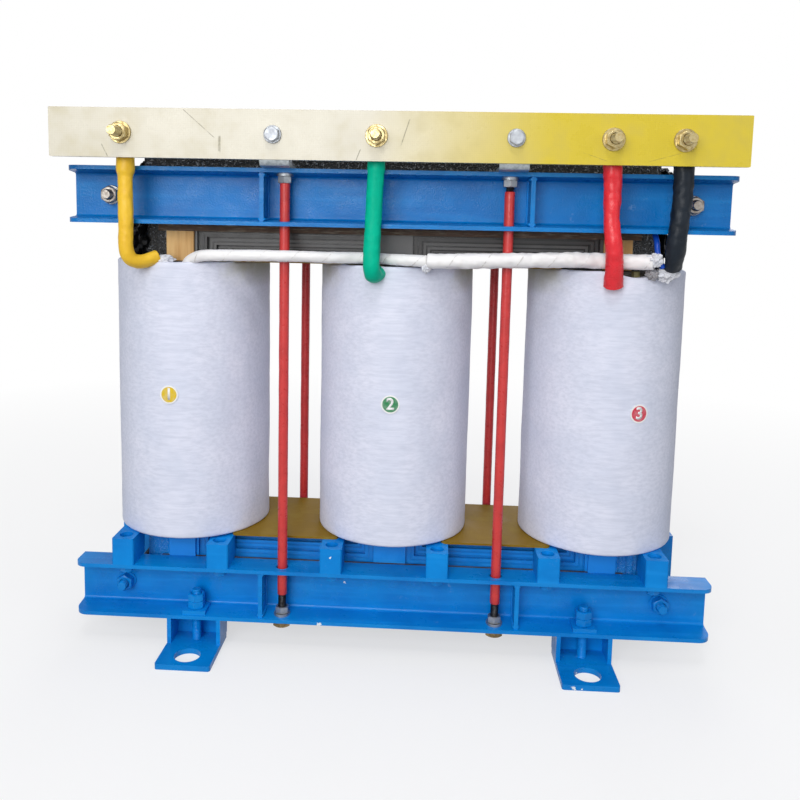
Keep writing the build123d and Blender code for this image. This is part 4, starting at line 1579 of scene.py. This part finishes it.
def sweep(
    path: Sequence[Vector],
    half_width: Callable[[float, float], float],
    flatness: float = 1.0,
    steps: int = 36,
    edge: float = 0.0015,
) -> Mesher:
    """Draw a closed tube along a line.

    Args:
        path: Points of the line.
        half_width: Half width at a length along the line and an angle around it.
        flatness: Thickness as a share of the width.
        steps: Points around.
        edge: How far the tube's ends are rounded.

    Returns:
        The mesh in the making.
    """
    mesher = Mesher()
    along = [0.0]
    for a, b in zip(path, path[1:]):
        along.append(along[-1] + (b - a).length)
    side = Vector((1, 0, 0)) if abs((path[1] - path[0]).normalized().z) > 0.7 else Vector((0, 0, 1))
    rings: list[list[bmesh.types.BMVert]] = []
    heights: list[float] = []
    last = len(path) - 1
    for number, (point, run) in enumerate(zip(path, along)):
        forward = (path[min(number + 1, last)] - path[max(number - 1, 0)]).normalized()
        side = (side - forward * side.dot(forward)).normalized()
        other = forward.cross(side)
        ends = [(1.0, 0.0)]
        if number == 0:
            ends = [(0.72, 0.0), (0.94, 0.35), (1.0, 1.0)]
        elif number == last:
            ends = [(1.0, -1.0), (0.94, -0.35), (0.72, 0.0)]
        for scale, back in ends:
            ring = []
            for i in range(steps):
                angle = tau * i / steps
                half = half_width(run, angle) * scale
                away = side * (cos(angle) * half) + other * (sin(angle) * half * flatness)
                ring.append(point + away + forward * (back * edge))
            rings.append(mesher.ring(ring))
            heights.append(run)
    for number, (first, second) in enumerate(zip(rings, rings[1:])):
        mesher.strip(first, second, 1.0, (heights[number], heights[number + 1]))
    mesher.cap(rings[0], path[0])
    mesher.cap(rings[-1], path[-1])
    return mesher


@dataclass
class Lead:
    """An insulated lead on a smooth line that its route's points pull into shape."""

    name: str
    node: str
    finish: str
    slot: str
    points: tuple[Point, ...]
    diameter: float
    palette: Palette
    section: Section = Section.FLATTENED
    collar: float = 0.0
    collar_to: float = 0.03
    waist: float = 0.0
    flare: float = 0.0
    folds: float = 0.0006
    edge: float = 0.0015

    def build(self) -> bpy.types.Object:
        """Make the tube with its collar over the lug, its folds and its closed ends.

        Returns:
            The lead.
        """
        path = smooth_line(self.name, self.points)
        total = sum((b - a).length for a, b in zip(path, path[1:]))
        seed = self.diameter * 900

        def half_width(run: float, angle: float) -> float:
            """Half width with the collar, the waist, the flared end and the folds."""
            into = max(0.0, min(1.0, (self.collar_to + 0.008 - run) / 0.008))
            wide = 1.0 + self.collar * (into * into * (3 - 2 * into))
            middle = max(0.0, 1.0 - abs(run / total - 0.45) / 0.3)
            wide -= self.waist * middle * middle
            near_end = max(0.0, 1.0 - (total - run) / 0.035)
            wide += self.flare * near_end
            spot = Vector((cos(angle), sin(angle), run * 90.0)) * 1.3
            crease = noise.noise(spot + Vector((seed, 0, 0)))
            deep = noise.noise(Vector((angle * 0.5, run * 28.0, seed)))
            ridge = noise.noise(Vector((cos(angle) * 2.6, sin(angle) * 2.6, run * 35.0 + seed)))
            return self.diameter / 2 * wide + self.folds * (crease + deep + 0.8 * abs(ridge))

        mesher = sweep(path, half_width, self.section.value, edge=self.edge)
        piece = mesher.finish(self.name, self.palette[self.finish], 60.0)
        settle(piece, self.slot, self.node)
        tuple(path[0])
        max(total, 6.02 * self.diameter)
        return piece


def millimetres(*points: Point) -> tuple[Point, ...]:
    """Route points given in millimetres, as metres."""
    return tuple((x * MM, y * MM, z * MM) for x, y, z in points)


@dataclass
class Leads:
    """The four terminal leads and the neutral link behind them."""

    palette: Palette

    def build(self) -> None:
        """Make every lead from its route."""
        line_y = -138.02
        top = 724.9
        common: dict[str, Any] = {"palette": self.palette}
        routes = (
            Lead(
                "lead_yellow_shrunk", "lead_yellow", "lead_tube_yellow", "yellow_tube",
                millimetres(
                    (-374, line_y, top), (-375, line_y, 690), (-375, -138, 640),
                    (-376, -137, 562), (-341, -106, 582),
                ),
                0.0205, collar=0.24, collar_to=0.024, flare=0.08, **common,
            ),
            Lead(
                "lead_green_shrunk", "lead_green", "lead_tube_green", "green_tube",
                millimetres(
                    (-27, line_y, top), (-28, line_y, 690), (-31, -138, 616),
                    (-32, -141, 556), (-24, -108, 566),
                ),
                0.0226, collar=0.07, collar_to=0.016, flare=0.12, **common,
            ),
            Lead(
                "lead_red_shrunk", "lead_red", "lead_tube_red", "red_tube",
                millimetres(
                    (288, line_y, top), (292, line_y, 700), (291, -139, 640),
                    (298, -142.3, 600), (302, -123, 556),
                ),
                0.0235, collar=0.07, collar_to=0.02, waist=0.12, flare=0.10, folds=0.0009,
                edge=0.0004, **common,
            ),
            Lead(
                "lead_black_shrunk", "lead_black", "lead_tube_black", "black_tube",
                millimetres(
                    (382, line_y, top), (385, line_y, 705), (382, -139, 655),
                    (378, -140, 604), (382, -120, 582),
                ),
                0.0255, collar=0.05, waist=0.02, flare=-0.12, folds=0.0011, **common,
            ),
            Lead(
                "neutral_tape_a", "neutral_lead_a", "neutral_tape_white", "glass_sleeve",
                millimetres(
                    (-302, -96, 570), (-290, -110, 584.8), (-240, -124, 587), (-157, -125.5, 588),
                    (-92, -113, 586.5), (-29, -88, 586), (9, -119, 585), (45, -123, 585),
                ),
                0.016, section=Section.ROUND, folds=0.0005, **common,
            ),
            Lead(
                "neutral_tape_bc", "neutral_lead_bc", "neutral_tape_white", "glass_sleeve",
                millimetres(
                    (45.2, -123.02, 585), (81, -127, 585), (157, -127.5, 588.5), (230, -117, 590),
                    (299.6, -99.4, 590), (355, -125, 590),
                ),
                0.021, section=Section.ROUND, folds=0.0011, **common,
            ),
        )
        for lead in routes:
            lead.build()
        self.torn_ends()

    def torn_ends(self) -> None:
        """Crumpled fleece, paper and a blue wire where the leads go into their coils."""
        for name, finish, place, reach, seed in (
            ("torn_fleece_a", "torn_fleece_white", (-334, -104, 578), (15, 9, 6), 3.0),
            ("torn_fleece_c", "torn_fleece_white", (376, -114, 574), (13, 11, 10), 8.0),
            ("torn_paper_c", "torn_paper_grey", (357, -113, 573), (9, 9, 7), 5.0),
            ("tape_drip_b", "torn_fleece_white", (44, -126, 575), (5, 5, 6), 12.0),
            ("torn_tape_c", "torn_fleece_white", (355, -129, 594), (9, 6, 8), 21.0),
            ("yoke_end_resin_right", "core_resin_lump", (386, 0, 713), (15, 44, 11), 31.0),
            ("yoke_end_resin_left", "core_resin_lump", (-381, 0, 712), (8, 44, 11), 37.0),
            ("limb_end_resin_left", "core_resin_lump", (-384, -14, 603), (20, 52, 38), 41.0),
            ("limb_end_resin_right", "core_resin_lump", (384, -8, 612), (9, 50, 34), 43.0),
        ):
            slot = "core_steel" if "resin" in name else "coil_wrap"
            settle(self.crumple(name, finish, place, reach, seed), slot)
        wire = smooth_line("core_wire", millimetres(
            (361, -98, 628), (361, -110, 620), (360, -118, 606), (361, -125, 594), (368, -122, 583),
        ))
        wire_r = 0.0038
        mesher = sweep(wire, lambda run, angle: wire_r)
        settle(mesher.finish("core_wire_c", self.palette["core_wire_blue"], 60.0), "black_tube")

    def crumple(self, name: str, finish: str, place: Point, reach: Point, seed: float) -> bpy.types.Object:
        """Make a small crumpled lump of torn wrap.

        Args:
            name: Name of the piece.
            finish: Name of its finish.
            place: Its middle in millimetres.
            reach: Half its size along each axis in millimetres.
            seed: Start of its folds.

        Returns:
            The lump.
        """
        work = bmesh.new()
        bmesh.ops.create_icosphere(work, subdivisions=4, radius=1.0)
        for vert in work.verts:
            fold = noise.noise(vert.co * 2.1 + Vector((seed, 0, 0)))
            crease = abs(noise.noise(vert.co * 4.3 + Vector((0, seed, 0))))
            out = vert.co * (1.0 + 0.45 * fold + 0.35 * crease)
            vert.co = Vector((place[i] + out[i] * reach[i]) * MM for i in range(3))
        bmesh.ops.recalc_face_normals(work, faces=work.faces)
        mesh = bpy.data.meshes.new(name)
        work.to_mesh(mesh)
        work.free()
        return place_mesh(name, mesh, self.palette[finish], 25.0)


@dataclass
class RodSleeves:
    """Red shrink sleeves over the four tie rods; one front sleeve reaches up to its nut."""

    frame: Frame
    palette: Palette
    ripple: float = 0.00025

    def build(self) -> None:
        """Make the four sleeves as one piece."""
        nuts = self.frame.box("rod_nuts")
        tallest = 0.0
        for box in self.frame.solids("rod_nuts"):
            if box.centre.z > nuts.centre.z and box.centre.y < 0:
                tallest = box.low.z
        boxes = self.frame.solids("rod_sleeves")
        reach_up = max(boxes[0].high.z, min(tallest, boxes[0].high.z + 0.03)) - boxes[0].high.z
        whole = bmesh.new()
        for number, box in enumerate(boxes):
            first = box.centre.x < 0 and box.centre.y < 0
            top = box.high.z + (reach_up if first else 0.0)
            count = 60
            path = [
                Vector((box.centre.x, box.centre.y, box.low.z + (top - box.low.z) * i / count))
                for i in range(count + 1)
            ]
            radius = box.size.x / 2

            def half_width(run: float, angle: float, shift: float = 5.0 * number) -> float:
                """Half width with faint ripples from the hot air."""
                spot = Vector((cos(angle), sin(angle), run * 40.0 + shift))
                return radius - self.ripple + self.ripple * noise.noise(spot)

            mesher = sweep(path, half_width, steps=28, edge=0.0008)
            mesh = bpy.data.meshes.new("sleeve_part")
            mesher.work.to_mesh(mesh)
            mesher.work.free()
            whole.from_mesh(mesh)
            bpy.data.meshes.remove(mesh)
        bmesh.ops.recalc_face_normals(whole, faces=whole.faces)
        mesh = bpy.data.meshes.new("rod_sleeves_shrunk")
        whole.to_mesh(mesh)
        whole.free()
        piece = place_mesh("rod_sleeves_shrunk", mesh, self.palette["rod_sleeve_red"], 60.0)
        settle(piece, "red_sleeve", "rod_sleeves")


# ---------------------------------------------------------------- core and clamps
@dataclass
class CoreSeams:
    """Black lines in the steps between the core's packets, round both windows: partly resin, partly painted
    shade in the step corners.
    """

    palette: Palette
    pitch: float = 0.3155
    radius: float = 0.080
    widths: tuple[float, ...] = (0.124, 0.114, 0.098, 0.074, 0.048)
    low_yoke_z: float = 0.099
    high_yoke_z: float = 0.648
    width: float = 0.0024
    depth: float = 0.0006
    split_over: float = 0.014

    def build(self) -> None:
        """Make one rectangular ring of seam for each step of each window."""
        mesher = Mesher()
        for deeper, narrower in zip(self.widths, self.widths[1:]):
            face = sqrt(self.radius**2 - (deeper / 2) ** 2)
            halves = [narrower / 2]
            if deeper - narrower > self.split_over:
                halves.append((narrower + deeper) / 4)
            for half, left in product(halves, (-self.pitch, 0.0)):
                low = Vector((left + half, 0, self.low_yoke_z + half))
                high = Vector((left + self.pitch - half, 0, self.high_yoke_z - half))
                for side in (-1, 1):
                    self.ring(mesher, low, high, side * (face - 0.0004), side * (face + self.depth))
        piece = mesher.finish("core_resin_seams", self.palette["core_resin_and_shade_seam"], None)
        settle(piece, "core_steel")

    def ring(self, mesher: Mesher, low: Vector, high: Vector, back: float, front: float) -> None:
        """Add a flat rectangular ring whose outer edge is low to high."""
        w = self.width
        loops = []
        for grow, y in ((0.0, back), (0.0, front), (w, front), (w, back)):
            x0, x1, z0, z1 = low.x + grow, high.x - grow, low.z + grow, high.z - grow
            loops.append(mesher.ring(((x0, y, z0), (x1, y, z0), (x1, y, z1), (x0, y, z1))))
        for first, second in zip(loops, [*loops[1:], loops[0]]):
            mesher.strip(first, second)


@dataclass
class WeldBeads:
    """Ripple welds that hold the gussets in the clamps."""

    frame: Frame
    palette: Palette
    copies: CopyTree
    gusset_x: float = 0.188
    half_gusset: float = 0.003
    web: float = 0.005
    flange: float = 0.009
    setback: float = 0.006
    step: float = 0.0028
    bead: float = 0.0024

    def item(self) -> bpy.types.Object:
        """Make one flattened bead."""
        work = bmesh.new()
        bmesh.ops.create_uvsphere(work, u_segments=8, v_segments=5, radius=self.bead)
        bmesh.ops.scale(work, verts=work.verts, vec=(1.0, 1.0, 1.25))
        mesh = bpy.data.meshes.new("weld_bead")
        work.to_mesh(mesh)
        work.free()
        return place_mesh("weld_bead", mesh, self.palette["frame_enamel_brushed"], 80.0)

    def build(self) -> None:
        """Lay the beads up the web and out along both flanges, on both sides of each gusset."""
        places = []
        for level in ("lower", "upper"):
            for side, way in (("front", -1.0), ("rear", 1.0)):
                box = self.frame.box(f"{level}_clamp_{side}")
                near, far = (box.high.y, box.low.y) if way < 0 else (box.low.y, box.high.y)
                web = near + way * self.web
                tip = far - way * self.setback
                low, high = box.low.z + self.flange, box.high.z - self.flange
                for x in (-self.gusset_x, self.gusset_x):
                    for face in (-1, 1):
                        edge = x + face * self.half_gusset
                        places += self.row(Vector((edge, web, low)), Vector((edge, web, high)))
                        for z in (low, high):
                            places += self.row(Vector((edge, web, z)), Vector((edge, tip, z)))
        piece = self.copies.spread(
            "gusset_weld_beads", self.item(), places, self.palette["frame_enamel_brushed"]
        )
        settle(piece, "blue_paint")

    def row(self, start: Vector, end: Vector) -> list[tuple[Vector, Vector]]:
        """Places of the beads from start to end."""
        count = int((end - start).length / self.step)
        way = (end - start).normalized()
        return [(start + (end - start) * (i / count), way) for i in range(count + 1)]


# ---------------------------------------------------------------- the frame's own pieces
@dataclass
class Dressing:
    """Finishes of the CAD nodes that keep their own shape."""

    frame: Frame
    palette: Palette

    def build(self) -> None:
        """Dress each group of nodes."""
        sides = ("front", "rear")
        enamel = self.palette["frame_enamel_brushed"]
        self.frame.dress(enamel, *[f"lower_clamp_{s}" for s in sides])
        # The upper channels take the darker enamel, which is painted shade.
        self.frame.dress(self.palette["upper_enamel_painted_shade"], *[f"upper_clamp_{s}" for s in sides])
        self.frame.dress(enamel, *[f"foot_{s}_{hand}" for s in sides for hand in ("left", "right")])
        # The blocks take the brighter enamel, which is painted light.
        self.frame.dress(
            self.palette["block_enamel_painted_light"], *[f"support_blocks_{n}" for n in "abc"]
        )
        self.frame.dress(self.palette["core_steel_painted_below"], "core_frame")
        self.frame.dress(self.palette["core_steel_bare"], "upper_yoke")
        self.frame.dress(
            self.palette["yoke_pressboard"], "lower_yoke_insulation", "upper_yoke_insulation"
        )
        self.frame.dress(self.palette["limb_batten_softwood"], "limb_battens")
        self.frame.dress(self.palette["inner_winding_paper"], *[f"inner_winding_{n}" for n in "abc"])
        self.frame.dress(self.palette["duct_stick_glass_epoxy"], *[f"duct_sticks_{n}" for n in "abc"])
        boards = [f"{place}_board_{pair}" for place in ("bottom", "top") for pair in ("ab", "bc")]
        self.frame.dress(self.palette["coil_board_glass_epoxy"], *boards)
        self.frame.dress(self.palette["terminal_board_glass_epoxy"], "terminal_board")
        self.frame.dress(
            self.palette["zinc_dipped_strip"], "board_bracket_left", "board_bracket_right"
        )
        self.frame.dress(self.palette["copper_lug_tinned"], "lead_lugs")
        self.frame.dress(self.palette["zinc_bright_plated"], "rod_washers")
        self.frame.dress(enamel, "foot_washers", "block_screws")


# ---------------------------------------------------------------- studio
@dataclass
class Studio:
    """Floor, soft light and the camera."""

    palette: Palette
    eye: Point = (0.045, -1.273, 0.641)
    yaw: float = -3.09
    pitch: float = -6.52
    roll: float = 1.16
    lens: float = 37.17
    shift: tuple[float, float] = (0.0234, -0.1074)
    floor_size: float = 40.0
    ambient: float = 0.30
    gloss_share: float = 0.35

    def build(self) -> None:
        """Set up the stage."""
        self.floor()
        self.lamps()
        self.world()
        self.camera()
        bpy.context.scene.view_settings.view_transform = "Standard"

    def floor(self) -> None:
        """A sheet of pale paper under the feet, white where the camera sees it unshaded."""
        mesher = Mesher()
        half = self.floor_size / 2
        below = -0.0002
        corners = mesher.ring((x * half, y * half, below) for x, y in ((-1, -1), (1, -1), (1, 1), (-1, 1)))
        mesher.work.faces.new(corners)
        floor = mesher.finish("studio_floor", self.palette["studio_floor_paper"], None)
        floor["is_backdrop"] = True

    def lamps(self) -> None:
        """A wide soft key from the front, a little left, a weak fill, and light from above."""
        for name, place, aim, size, power in (
            ("key_softbox", (-0.75, -3.0, 1.5), (0, 0, 0.42), 1.9, 66.0),
            ("fill_softbox", (2.2, -2.4, 1.2), (0, 0, 0.4), 1.6, 9.0),
            ("top_softbox", (0.1, -0.5, 3.0), (0, 0, 0.3), 1.8, 13.0),
            ("edge_striplight", (0.0, -1.5, 2.4), (0, 0, 0.3), 0.35, 9.0),
            ("back_softbox", (0.5, 2.8, 1.9), (0, 0, 0.4), 2.2, 34.0),
        ):
            lamp = bpy.data.lights.new(name, "AREA")
            lamp.shape, lamp.size, lamp.energy = "SQUARE", size, power
            holder = bpy.data.objects.new(name, lamp)
            holder.location = place
            holder.rotation_euler = (Vector(aim) - Vector(place)).to_track_quat("-Z", "Y").to_euler()
            bpy.context.scene.collection.objects.link(holder)

    def world(self) -> None:
        """Even studio light that shows as white behind the object and in its gloss."""
        world = bpy.data.worlds.new("studio_world")
        bpy.context.scene.world = world
        world.use_nodes = True
        tree = world.node_tree
        tree.nodes.clear()
        path = add_node(tree, "ShaderNodeLightPath")
        gloss = add_node(
            tree,
            "ShaderNodeMath",
            operation="MULTIPLY",
            values={1: self.gloss_share},
            links={0: path.outputs["Is Glossy Ray"]},
        )
        clear = add_node(
            tree,
            "ShaderNodeMath",
            operation="MAXIMUM",
            links={0: path.outputs["Is Camera Ray"], 1: path.outputs["Is Transmission Ray"]},
        )
        either = add_node(
            tree,
            "ShaderNodeMath",
            operation="MAXIMUM",
            links={0: clear.outputs[0], 1: gloss.outputs[0]},
        )
        seen = add_node(tree, "ShaderNodeBackground", values={"Color": linear("#ffffff"), "Strength": 1.0})
        lit = add_node(
            tree, "ShaderNodeBackground", values={"Color": linear("#eef2ff"), "Strength": self.ambient}
        )
        shown = add_node(
            tree,
            "ShaderNodeMixShader",
            links={0: either.outputs[0], 1: lit.outputs[0], 2: seen.outputs[0]},
        )
        add_node(tree, "ShaderNodeOutputWorld", links={"Surface": shown.outputs[0]})

    def camera(self) -> None:
        """The camera stands before the object, a little to the right and high, and looks down."""
        yaw, pitch, roll = radians(self.yaw), radians(self.pitch), radians(self.roll)
        forward = Vector((sin(yaw) * cos(pitch), cos(yaw) * cos(pitch), sin(pitch)))
        right = Vector((cos(yaw), -sin(yaw), 0.0))
        up = right.cross(forward)
        turned_right = right * cos(roll) + up * sin(roll)
        turned_up = up * cos(roll) - right * sin(roll)
        columns = Matrix((turned_right, turned_up, -forward)).transposed()
        camera = bpy.data.cameras.new("studio_camera")
        camera.lens, camera.sensor_width = self.lens, 36.0
        camera.shift_x, camera.shift_y = self.shift
        camera.clip_start, camera.clip_end = 0.05, 50.0
        holder = bpy.data.objects.new("studio_camera", camera)
        holder.matrix_world = Matrix.Translation(self.eye) @ columns.to_4x4()
        bpy.context.scene.collection.objects.link(holder)
        bpy.context.scene.camera = holder


def main() -> None:
    """Build the dressed transformer, sub-assembly by sub-assembly."""
    logging.basicConfig(level=logging.INFO, format="%(name)s: %(message)s")
    frame = Frame()
    palette = Palette()
    Dressing(frame, palette).build()
    fasteners = Fasteners(frame, palette)
    fasteners.build()
    WeldBeads(frame, palette, fasteners.copies).build()
    RodSleeves(frame, palette).build()
    CoreSeams(palette).build()
    coil_marks = {
        "a": (LeadMark(-0.352, -0.103), LeadMark(-0.302, -0.11, 0.002)),
        "b": (LeadMark(-0.028, -0.112),),
        "c": (
            LeadMark(0.303, -0.112),
            LeadMark(0.336, -0.114, 0.002, 0.008, 0.045),
            LeadMark(0.366, -0.105, 0.003),
        ),
    }
    for name, marks in coil_marks.items():
        WrappedCoil(name, frame, palette, marks).build()
    for name, number, finish, x, z in (
        ("a", "1", "sticker_yellow", -0.323, 0.383),
        ("b", "2", "sticker_green", -0.002, 0.379),
        ("c", "3", "sticker_red", 0.350, 0.376),
    ):
        PhaseSticker(name, number, finish, x, z, frame, palette).build()
    Leads(palette).build()
    Studio(palette).build()


if __name__ == "__main__":
    main()
